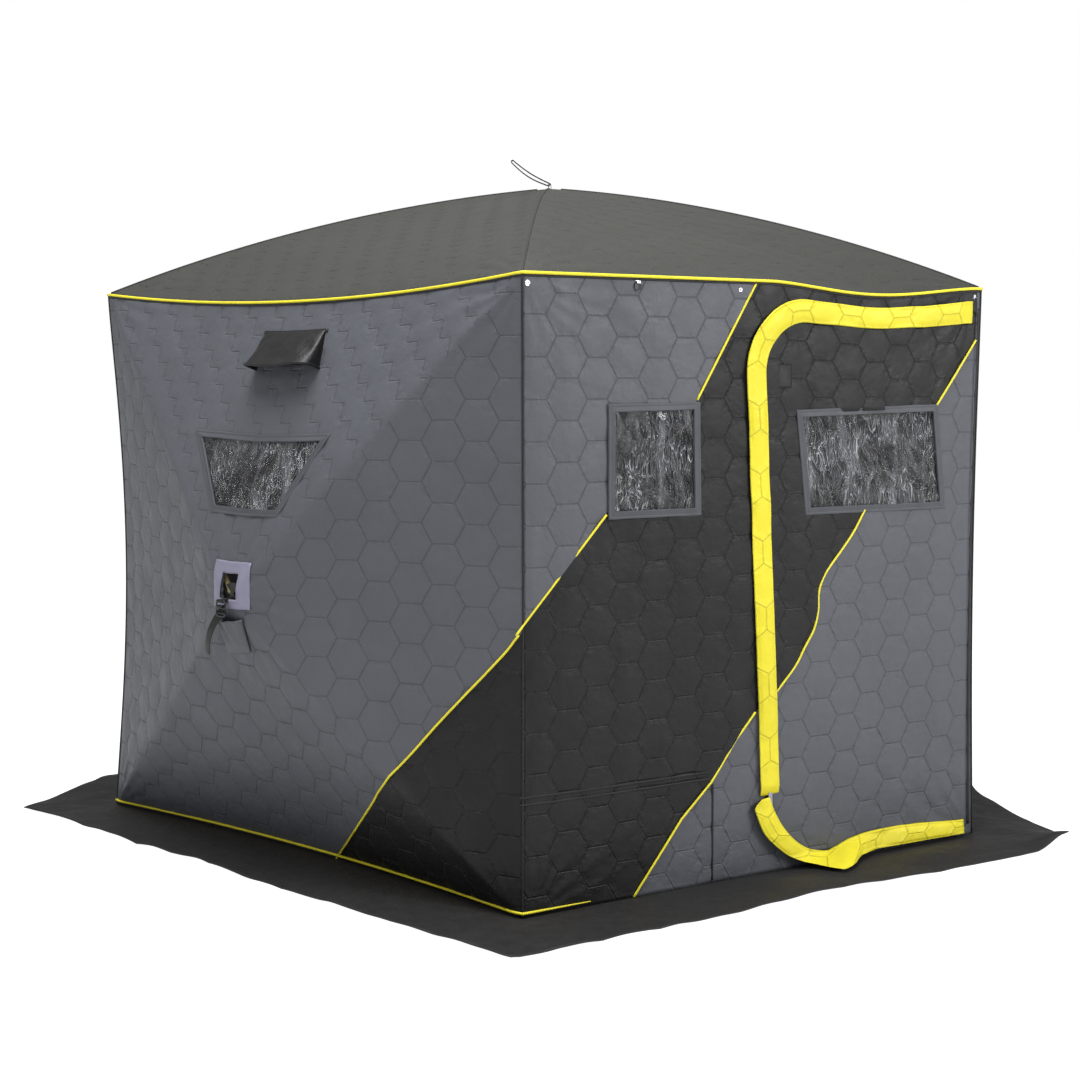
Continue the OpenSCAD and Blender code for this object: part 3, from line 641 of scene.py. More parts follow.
def quilted(name, colours, mask=None, lines="hex", roughness=0.55, creases=1.0):
    """Quilted shell cloth: stitch lines, puckers, soft creases, weave, colour that varies a little, and painted shade
    that darkens the colour along the stitch grooves.
    mask is a function of the shader and u, v that gives 1 where the second colour shows."""
    s = Shader(name)
    uv, at = s.uv(), s.position()
    split = s.add("ShaderNodeSeparateXYZ", uv)
    u, v = split.outputs[0], split.outputs[1]
    if lines == "hex":
        edge = hex_lines(s, uv)
    elif lines == "step":
        edge = step_lines(s, uv)
    else:
        half = (EAVE_R + BASE_R) / 2 * math.sin(HALF_HUB)
        tau = s.math("DIVIDE", s.minus(v, HUB_Z), EAVE_Z - HUB_Z)
        top = s.math("GREATER_THAN", tau, s.math("DIVIDE", s.math("ABSOLUTE", u), half))
        hexes, steps = hex_lines(s, uv), step_lines(s, uv)
        edge = s.math("ADD", s.mul(top, steps),
                      s.mul(s.minus(1.0, top), hexes))
    groove = s.ramp(edge, 0.0, 0.0035)
    pucker = s.ramp(edge, 0.0, 0.022)
    wobble = s.noise(at, 42.0, 3.0)
    stitch = s.math("GREATER_THAN", s.math("SINE", s.mul(s.math("ADD", u, v), 1150.0)), 0.0)
    thread = s.mul(stitch, s.math("LESS_THAN", edge, 0.0012))
    base = colours[0] if mask is None else s.mix(mask(s, u, v), colours[0], colours[1])
    mottled = s.vary(at, 2.3, 4.0, 0.93, 1.06, 0.6)
    scuffed = s.vary(at, 30.0, 4.0, 0.97, 1.03, 0.65)
    # Painted shade: the colour darkens to 0.72 of itself towards the stitch lines, where the quilting's grooves lie.
    groove_shade = s.ramp(groove, 0.0, 1.0, 0.72, 1.0)
    lit = s.scaled(base, s.mul(s.mul(mottled, scuffed), groove_shade))
    fold = s.mul(s.noise(at, 7.0, 4.0, 0.55), creases)
    normal = s.bump(fold, 0.35, 0.02)
    normal = s.bump(s.mul(wobble, s.minus(1.2, pucker)), 0.8, 0.007, normal)
    normal = s.bump(pucker, 0.5, 0.003, normal)
    normal = s.bump(groove, 0.9, 0.0018, normal)
    normal = s.bump(thread, 0.4, 0.0005, normal)
    normal = s.bump(weave(s, uv), 0.12, 0.0002, normal)
    rough = s.vary(at, 11.0, 3.0, roughness - 0.06, roughness + 0.06)
    return s.finish(lit, rough, normal, sheen=0.03, specular=0.3)


def line_at(s, v, path):
    """The x of a colour panel's edge at height v; path is (x, height) pairs, from low to high."""
    (x, z0), result = path[0], None
    for x1, z1 in path[1:]:
        part = s.ramp(v, z0, z1, *((x, x1) if result is None else (0.0, x1 - x)))
        result = part if result is None else s.math("ADD", result, part)
        x, z0 = x1, z1
    return result


def cloth(name, colour, roughness=0.6, weave_scale=300.0, creases=0.4, sheen=0.03, spread=0.1):
    """Plain woven cloth or webbing."""
    s = Shader(name)
    uv, at = s.uv(), s.position()
    lit = s.scaled(colour, s.vary(at, 9.0, 4.0, 1 - spread, 1 + spread, 0.6))
    normal = s.bump(s.noise(at, 16.0, 4.0, 0.6), creases, 0.008)
    normal = s.bump(s.noise(at, 90.0, 2.0), 0.2, 0.0015, normal)
    normal = s.bump(weave(s, uv, weave_scale), 0.25, 0.0004, normal)
    rough = s.vary(at, 25.0, 3.0, roughness - 0.07, roughness + 0.07)
    return s.finish(lit, rough, normal, sheen=sheen, specular=0.35)


def plastic(name, colour, roughness=0.42):
    """Moulded plastic with a fine grain and tone that varies a little."""
    s = Shader(name)
    at = s.position()
    rough = s.vary(at, 60.0, 4.0, roughness - 0.1, roughness + 0.1)
    return s.finish(s.scaled(colour, s.vary(at, 35.0, 4.0, 0.85, 1.15, 0.6)), rough,
                    s.bump(s.noise(at, 1400.0, 1.0), 0.2, 0.0003))


def metal(name, colour, roughness=0.3):
    """Bare metal, a little scuffed."""
    s = Shader(name)
    at = s.position()
    rough = s.vary(at, 120.0, 3.0, roughness - 0.08, roughness + 0.1)
    return s.finish(s.scaled(colour, s.vary(at, 60.0, 4.0, 0.8, 1.1, 0.6)), rough,
                    s.bump(s.noise(at, 500.0, 2.0), 0.15, 0.0003), metallic=1.0)


def vinyl(name):
    """Clear window vinyl: its dark base colour is painted shade of the inside seen through the film, and its light
    streaks are partly milky fold lines and partly painted glints.
    """
    s = Shader(name)
    uv = s.uv()
    warp = s.add("ShaderNodeTexNoise", uv)
    warp.inputs["Scale"].default_value = 4.0
    warp.inputs["Detail"].default_value = 4.0
    bent = s.vec("ADD", uv, s.vec("MULTIPLY", warp.outputs["Color"], (0.13, 0.08, 0.0)))
    stretched = s.vec("MULTIPLY", bent, (30.0, 4.0, 1.0))
    cells = s.add("ShaderNodeTexVoronoi", stretched, feature="DISTANCE_TO_EDGE")
    crease = s.ramp(cells.outputs["Distance"], 0.0, 0.035, 1.0, 0.0)
    patches = s.ramp(s.noise(uv, 7.0, 3.0, 0.5), 0.40, 0.56)
    milk_and_glint = s.mul(crease, patches)
    # Painted glints: long, mostly upright streaks of the light colour.
    drawn = s.vec("MULTIPLY", bent, (1.0, 0.16, 1.0))
    haze_and_glint = s.ramp(s.noise(drawn, 26.0, 3.0, 0.55), 0.5, 0.72, 0.0, 0.38)
    milk_and_glint = s.math("MAXIMUM", milk_and_glint, haze_and_glint)
    # Painted light: the dark colour is painted shade of the shelter's inside behind the clear film, and the light
    # colour on the creases and streaks is partly milky fold lines and partly painted glints.
    colour = s.mix(milk_and_glint, srgb(20, 21, 24), srgb(186, 190, 197))
    normal = s.bump(cells.outputs["Distance"], 0.8, 0.02)
    normal = s.bump(s.noise(bent, 40.0, 5.0, 0.65), 0.7, 0.012, normal)
    alpha = s.ramp(milk_and_glint, 0.0, 1.0, 0.62, 0.95)
    s.tree.links.new(alpha, s.bsdf.inputs["Alpha"])
    return s.finish(colour, 0.1, normal, specular=0.9, coat=0.6)


# Edges of the colour panels, as (x, height) from low to high: the left and the right edge of the dark band
# across the door wall, of which the right one goes on over the door, and the edge of the left wall's corner
BAND_LEFT = [(-0.930, 0.700), (-0.856, 0.787), (-0.566, 1.106), (-0.262, 1.421), (-0.058, 1.753), (-0.030, 1.80)]
BAND_RIGHT_WALL = [(-0.475, 0.006), (-0.373, 0.132), (-0.310, 0.211), (-0.205, 0.307), (-0.112, 0.428),
                   (-0.047, 0.498)]
BAND_RIGHT_DOOR = [(0.026, 0.547), (0.100, 0.622), (0.136, 0.677), (0.171, 0.730), (0.186, 0.787), (0.188, 0.843),
                   (0.213, 0.897), (0.273, 0.963), (0.320, 1.017), (0.363, 1.083), (0.651, 1.399), (0.715, 1.478),
                   (0.812, 1.602)]
BELOW_WINDOW, ABOVE_WINDOW = slice(0, 10), slice(10, 13)
SIDE_LINE = [(0.126, 0.000), (0.274, 0.131), (0.415, 0.255), (0.455, 0.294), (0.519, 0.350), (0.591, 0.424),
             (0.671, 0.515), (0.746, 0.596), (0.819, 0.673), (0.881, 0.741), (0.901, 0.768), (0.960, 0.830)]
SIDE_PIPING_END = (0.915, 0.785)


def door_panels(s, u, v):
    """1 on the dark band that crosses the door wall."""
    right_of = s.math("GREATER_THAN", u, line_at(s, v, BAND_LEFT))
    left_of = s.math("LESS_THAN", u, line_at(s, v, BAND_RIGHT_WALL + BAND_RIGHT_DOOR))
    return s.mul(right_of, left_of)


def side_panels(s, u, v):
    """1 on the dark corner panel of the left wall."""
    return s.math("GREATER_THAN", u, line_at(s, v, SIDE_LINE))


MATERIALS = {
    "left_wall": quilted("left_wall_cloth", (GREY, BLACK), side_panels, "both"),
    "wall": quilted("wall_cloth", (GREY,), None, "both"),
    "door": quilted("door_wall_cloth", (GREY, BLACK), door_panels, "hex"),
    "roof": quilted("roof_cloth", (ROOF,), None, "step", roughness=0.62),
    "lining": cloth("lining_cloth", srgb(46, 46, 50), 0.75, 250.0, creases=0.5),
    "skirt": cloth("skirt_cloth", srgb(21, 20, 20), 0.62, 260.0, creases=0.7),
    "skirt_under": cloth("skirt_underside", srgb(168, 165, 190), 0.5, 260.0, creases=0.4),
    "yellow": quilted("yellow_cloth", (YELLOW,), None, "hex", roughness=0.5, creases=0.6),
    "piping": cloth("yellow_piping", srgb(210, 198, 38), 0.45, 500.0, creases=0.1, sheen=0.05, spread=0.05),
    "binding": cloth("grey_binding", srgb(68, 70, 75), 0.6, 500.0, creases=0.15),
    "seam": cloth("dark_seam_tape", srgb(21, 21, 23), 0.6, 500.0, creases=0.2),
    "hood": cloth("hood_cloth", srgb(14, 14, 16), 0.42, 300.0, creases=0.6),
    "mesh": cloth("vent_mesh", srgb(26, 26, 28), 0.8, 180.0),
    "patch": cloth("hub_patch", LILAC, 0.5, 400.0, creases=0.3),
    "webbing": cloth("webbing", srgb(8, 8, 8), 0.55, 380.0, creases=0.15),
    "roof_seam": cloth("roof_seam_tape", srgb(34, 34, 32), 0.6, 500.0, creases=0.2),
    "teeth": plastic("zipper_teeth", srgb(30, 30, 32), 0.35),
    "pocket": cloth("hub_pocket_cloth", srgb(76, 78, 82), 0.6, 300.0, creases=0.5),
    "vinyl": vinyl("clear_vinyl"),
    "hub": plastic("hub_plastic", srgb(26, 26, 28)),
    "socket": plastic("socket_plastic", srgb(28, 28, 30), 0.5),
    "pole": plastic("fibreglass", srgb(196, 180, 128), 0.35),
    "rivet": metal("rivet_metal", srgb(190, 190, 195)),
    "slider": metal("slider_metal", srgb(150, 150, 155), 0.35),
    "ring": plastic("ring_steel", srgb(30, 30, 32), 0.3),
}


# ---------------------------------------------------------------- holes in cloth

FAR = 9.0


def signed_distance(outline, x, z):
    """Distance to a closed outline, positive inside, and the nearest points on it."""
    p = np.stack([x, z], axis=-1)
    best = np.full(x.shape, FAR)
    near = np.zeros(p.shape)
    inside = np.zeros(x.shape, bool)
    for a, b in zip(outline, np.roll(outline, -1, axis=0)):
        d = b - a
        t = np.clip(((p - a) @ d) / max(d @ d, 1e-12), 0, 1)
        q = a + t[..., None] * d
        dist = np.linalg.norm(p - q, axis=-1)
        closer = dist < best
        best = np.where(closer, dist, best)
        near = np.where(closer[..., None], q, near)
        crosses = (a[1] > z) != (b[1] > z)
        at = a[0] + (z - a[1]) * d[0] / (d[1] if abs(d[1]) > 1e-12 else 1e-12)
        inside ^= crosses & (x < at)
    return np.where(inside, best, -best), near


def cut(x, z, outline, keep_inside=False):
    """Cells of an (x, z) grid to keep when cloth is cut along an outline; edge points move onto it."""
    cx, cz = (x[1:, 1:] + x[:-1, :-1]) / 2, (z[1:, 1:] + z[:-1, :-1]) / 2
    sd, _ = signed_distance(outline, cx, cz)
    keep = sd > 0 if keep_inside else sd < 0
    touch_kept, touch_lost = np.zeros(x.shape, bool), np.zeros(x.shape, bool)
    for di in (0, 1):
        for dj in (0, 1):
            window = (slice(di, di + keep.shape[0]), slice(dj, dj + keep.shape[1]))
            touch_kept[window] |= keep
            touch_lost[window] |= ~keep
    edge = touch_kept & touch_lost
    if keep_inside:
        edge |= touch_kept & (signed_distance(outline, x, z)[0] < 0)
    _, near = signed_distance(outline, x[edge], z[edge])
    x, z = x.copy(), z.copy()
    x[edge], z[edge] = near[:, 0], near[:, 1]
    return x, z, keep


def inset(outline, d):
    """A convex outline drawn in by d."""
    pts = [np.asarray(p, float) for p in outline]
    area = sum(a[0] * b[1] - b[0] * a[1] for a, b in zip(pts, pts[1:] + pts[:1]))
    turn = 1 if area > 0 else -1
    out = []
    for i, p in enumerate(pts):
        e0, e1 = p - pts[i - 1], pts[(i + 1) % len(pts)] - p
        n0 = turn * np.array([-e0[1], e0[0]]) / np.linalg.norm(e0)
        n1 = turn * np.array([-e1[1], e1[0]]) / np.linalg.norm(e1)
        out.append(p + d * (n0 + n1) / (1 + n0 @ n1))
    return np.array(out)


TOP_SLOPE = math.atan2(float(corner_radius(HUB_Z) - EAVE_R) * math.cos(HALF_HUB) + PUSH_OUT, EAVE_Z - HUB_Z)


def on_top_facet(x, down):
    """Places on a wall's top facet, from their x and their distances down its slope."""
    return np.stack(np.broadcast_arrays(x, EAVE_Z - down * math.cos(TOP_SLOPE)), axis=-1)


SIDE_WINDOW = np.array([on_top_facet(x, d) for x, d in
                        ((-0.308, 0.450), (0.308, 0.450), (0.150, 0.711), (-0.150, 0.711))])
FRONT_WINDOW = np.array([(-0.559, 1.412), (-0.252, 1.416), (-0.246, 1.092), (-0.559, 1.092)])
DOOR_WINDOW = np.array([(0.095, 1.390), (0.654, 1.402), (0.698, 1.074), (0.133, 1.076)])
TRIM_W = 0.022
VENT_LEFT, VENT_RIGHT, VENT_HIGH, VENT_LOW = -0.052, 0.148, 0.135, 0.215
VENT_HOLE = np.array([on_top_facet(x, d) for x, d in ((VENT_LEFT, VENT_HIGH), (VENT_RIGHT, VENT_HIGH),
                                                     (VENT_RIGHT, VENT_LOW), (VENT_LEFT, VENT_LOW))])
HUB_SLOT = np.array([(-0.039, 0.912), (0.038, 0.912), (0.038, 0.832), (-0.039, 0.832)])
OPENING_TOP, OPENING_FOOT, OPENING_RIGHT = 1.688, 0.030, 0.812
TOP_ARC_X, TOP_ARC_R = 0.133, 0.190
FOOT_ARC_X, FOOT_ARC_R = 0.208, 0.200


def arc(centre, radius, start, end, turns):
    """Points of an arc."""
    a = np.linspace(start, end, turns)
    return centre + radius * np.stack([np.cos(a), np.sin(a)], axis=1)


def opening_outline(grow=0.0, turns=24):
    """The door opening's outline from the foot of the hinge line, up, left and round to the foot again."""
    right = OPENING_RIGHT + grow
    top, foot = np.array([TOP_ARC_X, OPENING_TOP - TOP_ARC_R]), np.array([FOOT_ARC_X, OPENING_FOOT + FOOT_ARC_R])
    across = foot[0] - FOOT_ARC_R - top[0] + TOP_ARC_R
    turned = math.pi + math.atan2(across, top[1] - foot[1])
    return np.vstack([[(right, OPENING_FOOT - grow), (right, OPENING_TOP + grow)],
                      arc(top, TOP_ARC_R + grow, math.pi / 2, turned, turns),
                      arc(foot, FOOT_ARC_R + grow, turned, 1.5 * math.pi, turns)])


# ---------------------------------------------------------------- walls

def corner_folds(x, z, corners, seed):
    """Tension folds that fan out from the pulled corners of a panel; corners are (x, height, fold height)."""
    total = np.zeros(x.shape)
    for i, (cx, cz, amp) in enumerate(corners):
        r = np.hypot(x - cx, z - cz)
        angle = np.arctan2(z - cz, x - cx)
        wander = fractal(np.stack([x, z, 0 * x], axis=-1), 0.22, seed + i, 2)
        total += amp * np.exp(-r / 0.20) * smooth(r / 0.05) * np.sin(angle * 21 + 3 * wander + i)
    return total


def rim_share(k, x, z):
    """0 on a wall's edges and 1 a little way in from them."""
    from_side = 1 - np.abs(x / half_width(k, z))
    return smooth(np.minimum(from_side, np.minimum(EAVE_Z - z, z) / RIM_SCALE) / 0.035)


def cut_out(x, z, holes):
    """Cuts holes in an (x, z) grid of cloth; gives the grid and the cells that stay."""
    keep = np.ones((x.shape[0] - 1, x.shape[1] - 1), bool)
    for hole in holes:
        x, z, part = cut(x, z, hole)
        keep &= part
    return x, z, keep


def wall_sheet(name, p, x, z, keep, look, mount, node):
    """A quilted sheet with shell cloth outside and lining inside."""
    ab = np.stack([x, z], axis=-1)
    obj, used = new_object(name, p, grid_faces(*x.shape, keep), ab, (look, "lining"))
    return finish_piece((obj, ab.reshape(-1, 2)[used]), mount, node, WALL_T, 1)


def hub_wall(k):
    """Quilted cloth of one hub wall, over the cross of its four poles."""
    name = WALL_NAMES[k]
    share = np.arange(-WALL_CELLS, WALL_CELLS + 1) / WALL_CELLS
    z = np.where(share < 0, HUB_Z * (1 + share), HUB_Z + (EAVE_Z - HUB_Z) * share)
    z[0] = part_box(f"{name}_wall")[0].z
    s, z = np.meshgrid(share, z)
    holes = [inset(SIDE_WINDOW, TRIM_W / 2), HUB_SLOT] + ([VENT_HOLE] if k == 1 else [])
    x, z, keep = cut_out(s * corner_radius(z) * math.sin(HALF_HUB), z, holes)
    side, tau = np.abs(x / half_width(k, z)), rise_share(z)
    p = hub_wall_at(k)(x, z)
    edge = np.where((z > HUB_Z) & (tau > side), step_edge(x, z), hex_edge(x, z))
    pole = smooth(np.abs(side - tau) / 0.05)
    half = EAVE_R * math.sin(HALF_HUB)
    folds = corner_folds(x, z, [(-half, EAVE_Z, 0.004), (half, EAVE_Z, 0.004), (-half, 0, 0.0035),
                                (half, 0, 0.0035), (0, HUB_Z, 0.003)], 40 + k)
    bumps = fractal(p, 0.30, 60 + k, 4) * 0.0035 * (0.3 + 0.7 * pole)
    amount = quilt_puff(edge) * (0.4 + 0.6 * pole) + folds + bumps
    p = p + normals_of(p) * (amount * rim_share(k, x, z))[..., None]
    obj = wall_sheet(f"{name}_wall_cloth", p, x, z, keep, "left_wall" if k == 1 else "wall", on_hub_wall(),
                     f"{name}_wall")


def door_cloth(x, z, seed, rim):
    """Points of the door wall's face, with quilting and folds that fade out where rim is 0."""
    p = door_at(x, z)
    half = EAVE_R * math.sin(HALF_DOOR)
    folds = corner_folds(x, z, [(i * half, height, 0.003) for height in (EAVE_Z, 0) for i in (-1, 1)], seed)
    hang = fractal(np.stack([x * 2.2, 0 * x, z * 0.6], axis=-1), 0.30, seed + 5, 3) * 0.0045
    return p + normals_of(p) * ((quilt_puff(hex_edge(x, z)) + folds + hang) * rim)[..., None]


def door_wall():
    """Flat quilted wall round the door opening."""
    s, z = np.meshgrid(np.linspace(-1, 1, 168), np.linspace(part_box("door_wall")[0].z, EAVE_Z, 178))
    x, z, keep = cut_out(s * half_width(0, z), z, (opening_outline(), inset(FRONT_WINDOW, TRIM_W / 2)))
    p = door_cloth(x, z, 71, rim_share(0, x, z))
    obj = wall_sheet("door_wall_cloth", p, x, z, keep, "door", ROOT, "door_wall")


def door():
    """Quilted cloth of the door."""
    low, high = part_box("door_panel")
    outline = opening_outline(-0.001)
    x, z = np.meshgrid(np.linspace(low.x, high.x, 88), np.linspace(low.z, high.z, 166))
    x, z, inside = cut(x, z, outline, keep_inside=True)
    x, z, keep = cut_out(x, z, (inset(DOOR_WINDOW, TRIM_W / 2),))
    p = door_cloth(x, z, 83, smooth(signed_distance(outline, x, z)[0] / 0.03))
    obj = wall_sheet("door_cloth", p, x, z, keep & inside, "door", on_door, "door_panel")


def roof():
    """The domed roof: five gores in one sheet, sagging between the ridges."""
    n = GORE_CELLS
    j, i = np.tril_indices(n + 1)
    rho = j / n
    s = np.where(j > 0, 2 * i / np.maximum(j, 1) - 1, 0.0)
    index = np.zeros((n + 1, n + 1), int)
    index[j, i] = np.arange(len(i))
    j, i = np.tril_indices(n)
    up = np.stack([index[j, i], index[j + 1, i], index[j + 1, i + 1]], axis=1)
    j, i = np.tril_indices(n - 1)
    down = np.stack([index[j + 1, i], index[j + 2, i + 1], index[j + 1, i + 1]], axis=1)
    gore_faces = np.vstack([up, down])
    points, uvs, faces = [], [], []
    for k in range(5):
        half = EAVE_R * math.sin(half_angle(k))
        u, v = rho * s * half, -rho * EAVE_R * math.cos(half_angle(k)) * 1.03
        p = roof_at(k)(s, rho)
        fade = smooth((1 - np.abs(s)) * rho / 0.08) * smooth((1 - rho) / 0.03) * smooth(rho / 0.05)
        height = quilt_puff(step_edge(u, v)) + fractal(p, 0.3, 90 + k, 4) * 0.004
        folds = corner_folds(u, v, [(-half, v.min(), 0.004), (half, v.min(), 0.004)], 95 + k)
        p[:, 2] += (height + folds) * fade
        faces.append(gore_faces + len(rho) * k)
        points.append(p)
        uvs.append(np.stack([u, v], axis=-1))
    obj, used = new_object("roof_canopy_cloth", np.vstack(points), np.vstack(faces), np.vstack(uvs),
                           ("roof", "lining"))
    weights = np.tile(1 - rho, 5)[used].astype(np.float32)
    obj.data.attributes.new("share", "FLOAT", "POINT").data.foreach_set("value", weights)
    weld(obj, 0.0002)
    weights = np.empty(len(obj.data.vertices), np.float32)
    obj.data.attributes["share"].data.foreach_get("value", weights)
    finish_piece((obj, weights), on_roof, "roof_canopy", ROOF_T, 1)


# ---------------------------------------------------------------- seams, piping and trims

def tube(name, points, radius, look, sides=8, closed=False):
    """A round tube along 3-D points."""
    p = np.asarray(points, float)
    d = unit(np.roll(p, -1, axis=0) - np.roll(p, 1, axis=0) if closed else np.gradient(p, axis=0))
    up = np.array([0.0, 0.0, 1.0]) if np.abs(d[:, 2]).mean() < 0.8 else np.array([0.3, 1.0, 0.0])
    a = unit(np.cross(d, up))
    b = np.cross(a, d)
    turns = np.arange(sides) / sides * 2 * math.pi
    r = np.broadcast_to(np.asarray(radius, float), (len(p),))[:, None, None]
    ring = p[:, None] + r * (np.cos(turns)[None, :, None] * a[:, None] + np.sin(turns)[None, :, None] * b[:, None])
    return new_object(name, ring, sweep_faces(len(p), sides, closed), sweep_uv(p, turns * 0.004), look)[0]


def edge_line(z, walls, lift):
    """The walls' outer line at a height, going round the shelter clockwise."""
    lines = []
    for k in walls:
        reach = float(half_width(k, z))
        xs = np.linspace(-reach, reach, int(2 * reach / 0.02))[::-1]
        p = (hub_wall_at(k) if k else door_at)(xs, np.full(xs.shape, z))
        p[:, :2] += unit(p[:, :2] - np.array([0, CENTRE_Y])) * lift
        lines.append(p[:-1])
    return np.vstack(lines)


def over_corner(i, r, z):
    """Points over corner i, from their distances from the middle and their heights."""
    a = -math.pi / 2 - HALF_DOOR - 2 * HALF_HUB * i
    return np.stack([r * math.cos(a), CENTRE_Y + r * math.sin(a), z], axis=1)


def seams():
    """Piping round the eave and the foot, a dark line under the eave piping that is painted shadow, and tape along
    the corners and the ridges.
    """
    # The second tube, a dark line just under the eave piping, is painted shadow of the piping.
    for name, drop, lift, radius, look, slot in (("eave_piping", 0.002, 0.003, 0.0043, "piping", "yellow_fabric"),
                                                 ("eave_shadow_line", 0.0105, 0.0008, 0.0032, "seam", "binding")):
        line = edge_line(EAVE_Z - drop, range(5), lift)
        finish_piece(tube(name, line, radius, look, closed=True), ROOT)
    foot = edge_line(FOOT_PIPING_Z, range(1, 5), 0.003)
    tail_x = np.linspace(FOOT_PIPING_END_X, -BASE_R * math.sin(HALF_DOOR), 12)
    tail = door_at(tail_x, np.full(tail_x.shape, FOOT_PIPING_Z)) - np.array([0, 0.003, 0])
    radius = np.concatenate([np.linspace(0.0015, 0.0042, len(tail)), np.full(len(foot), 0.0042)])
    finish_piece(tube("foot_piping", np.vstack([tail, foot]), radius, "piping"), ROOT)
    z = np.linspace(0.006, EAVE_Z - 0.004, 90)
    rho = np.linspace(0.03, 0.995, 90)
    for i in range(5):
        line = over_corner(i, corner_radius(z) - seam_draw(i, z) + 0.0005, z)
        finish_piece(tube(f"corner_seam_{i + 1}", line, 0.0030, "seam"), ROOT)
        line = over_corner(i, rho * EAVE_R, roof_z(rho * EAVE_R) + 0.0005)
        ridge = tube(f"roof_ridge_seam_{i + 1}", line, 0.0030, "roof_seam")
        finish_piece((ridge, np.repeat(1 - rho, 8)), on_roof)


def piping(name, path, mount, surface=door_at):
    """Yellow piping sewn along a colour panel's edge."""
    finish_piece(strip(name, surface, path, round_profile(0.0033, 0.0020), "piping"), mount)


def accents():
    """Piping along the colour panels and the door wall's flat seams."""
    piping("left_wall_piping", curve_through(SIDE_LINE[:-1] + [SIDE_PIPING_END], TRIM_STEP), on_hub_wall(),
           hub_wall_at(1))
    for name, path in (("door_wall_piping_below_window", BAND_LEFT[1:3]),
                       ("door_wall_piping_above_window", BAND_LEFT[3:5]),
                       ("door_wall_lower_piping", BAND_RIGHT_WALL)):
        piping(name, resample(path, TRIM_STEP), ROOT)
    for name, part in (("door_piping_below_window", BELOW_WINDOW), ("door_piping_above_window", ABOVE_WINDOW)):
        piping(name, curve_through(BAND_RIGHT_DOOR[part], TRIM_STEP), on_door)
    for name, path in (("door_wall_seam_upper", [(-0.845, 0.338), (-0.212, 0.338)]),
                       ("door_wall_seam_lower", [(-0.846, 0.318), (-0.212, 0.318)]),
                       ("door_wall_seam_upright", [(-0.200, 0.012), (-0.200, 0.300)])):
        seam = strip(name, door_at, resample(path, TRIM_STEP), flat_profile(0.006, 0.0030, 0.0008), "seam")
        finish_piece(seam, ROOT)


# ---------------------------------------------------------------- windows

TRIM_PROFILE = [(0.0, -0.001), (0.0, 0.0030), (0.06, 0.0042), (0.30, 0.0046), (0.36, 0.0036), (0.42, 0.0046),
                (0.86, 0.0042), (0.94, 0.0052), (1.0, 0.0030), (1.0, -0.001)]
PANE_INSET, PANE_CELL = 0.013, 0.006


def mitred(outer, inner, share, counts):
    """Places across a mitred frame between two outlines, from the number of steps along each side."""
    a, b = (np.vstack([p[i] + (p[(i + 1) % 4] - p[i]) * (np.arange(n) / n)[:, None] for i, n in enumerate(counts)])
            for p in (outer, inner))
    return a[:, None] + (b - a)[:, None] * np.asarray(share)[None, :, None]


def frame_strip(name, surface, outline, width, look):
    """A mitred frame of TRIM_PROFILE's section along an outline."""
    share, out = np.transpose(TRIM_PROFILE)
    sides = np.linalg.norm(np.roll(outline, -1, axis=0) - outline, axis=1)
    ab = mitred(outline, inset(outline, width), share, [max(2, int(side / 0.011)) for side in sides])
    faces = grid_faces(*ab.shape[:2], closed_cols=True, closed_rows=True)
    return skin(name, surface, ab, out, faces, look, ab + share[None, :, None] * 0.003, (0.05, 7, 2, 0.0006))


def pane(name, surface, outline, seed):
    """A crumpled clear vinyl window pane."""
    tl, tr, br, bl = inset(outline, PANE_INSET)
    cols, rows = (int(np.linalg.norm(end - tl) / PANE_CELL) for end in (tr, bl))
    u, v = np.meshgrid(np.linspace(0, 1, cols), np.linspace(1, 0, rows))
    ab = (tl + (tr - tl) * u[..., None]) * (1 - v[..., None]) + (bl + (br - bl) * u[..., None]) * v[..., None]
    rim = smooth(np.minimum(np.minimum(u, 1 - u) * 6, np.minimum(v, 1 - v) * 6))
    skewed = np.stack([ab[..., 0] * 2.6 + ab[..., 1] * 0.9, ab[..., 1] * 0.7, 0 * u], axis=-1)
    ruck = 1 - np.abs(fractal(skewed, 0.13, seed, 4))
    out = -0.004 + rim * (0.0045 * (ruck - 0.6) + 0.002 * fractal(skewed, 0.04, seed + 3, 3))
    return skin(name, surface, ab, out, grid_faces(rows, cols), "vinyl")


def window(name, surface, outline, seed, mount, nodes):
    """A pane and its binding, which stand for two CAD nodes."""
    glass = finish_piece(pane(f"{name}_pane", surface, outline, seed), mount, nodes[0], 0.0008)
    binding = frame_strip(f"{name}_binding", surface, outline, TRIM_W, "binding")
    binding = finish_piece(binding, mount, nodes[1])


def windows():
    """A window in each wall and one in the door."""
    wall_nodes = ("wall_windows", "wall_window_trims")
    for k, name in WALL_NAMES.items():
        window(f"{name}_window", hub_wall_at(k), SIDE_WINDOW, 11 + k, on_hub_wall(), wall_nodes)
    window("front_window", door_at, FRONT_WINDOW, 31, ROOT, wall_nodes)
    window("door_window", door_at, DOOR_WINDOW, 37, on_door, ("door_window", "door_window_trim"))


# ---------------------------------------------------------------- door trims

FLAP_W = 0.069
SPLIT_Z = 0.238
FLAP_END_X = 0.790


def opening_edge(grow, step):
    """The left-hand run of the opening's edge, from the top right end round to the bottom right end."""
    path = opening_outline(grow, 28)[1:]
    path[0] = (FLAP_END_X, path[0][1])
    return resample(np.vstack([path, [(FLAP_END_X, path[-1][1])]]), step)


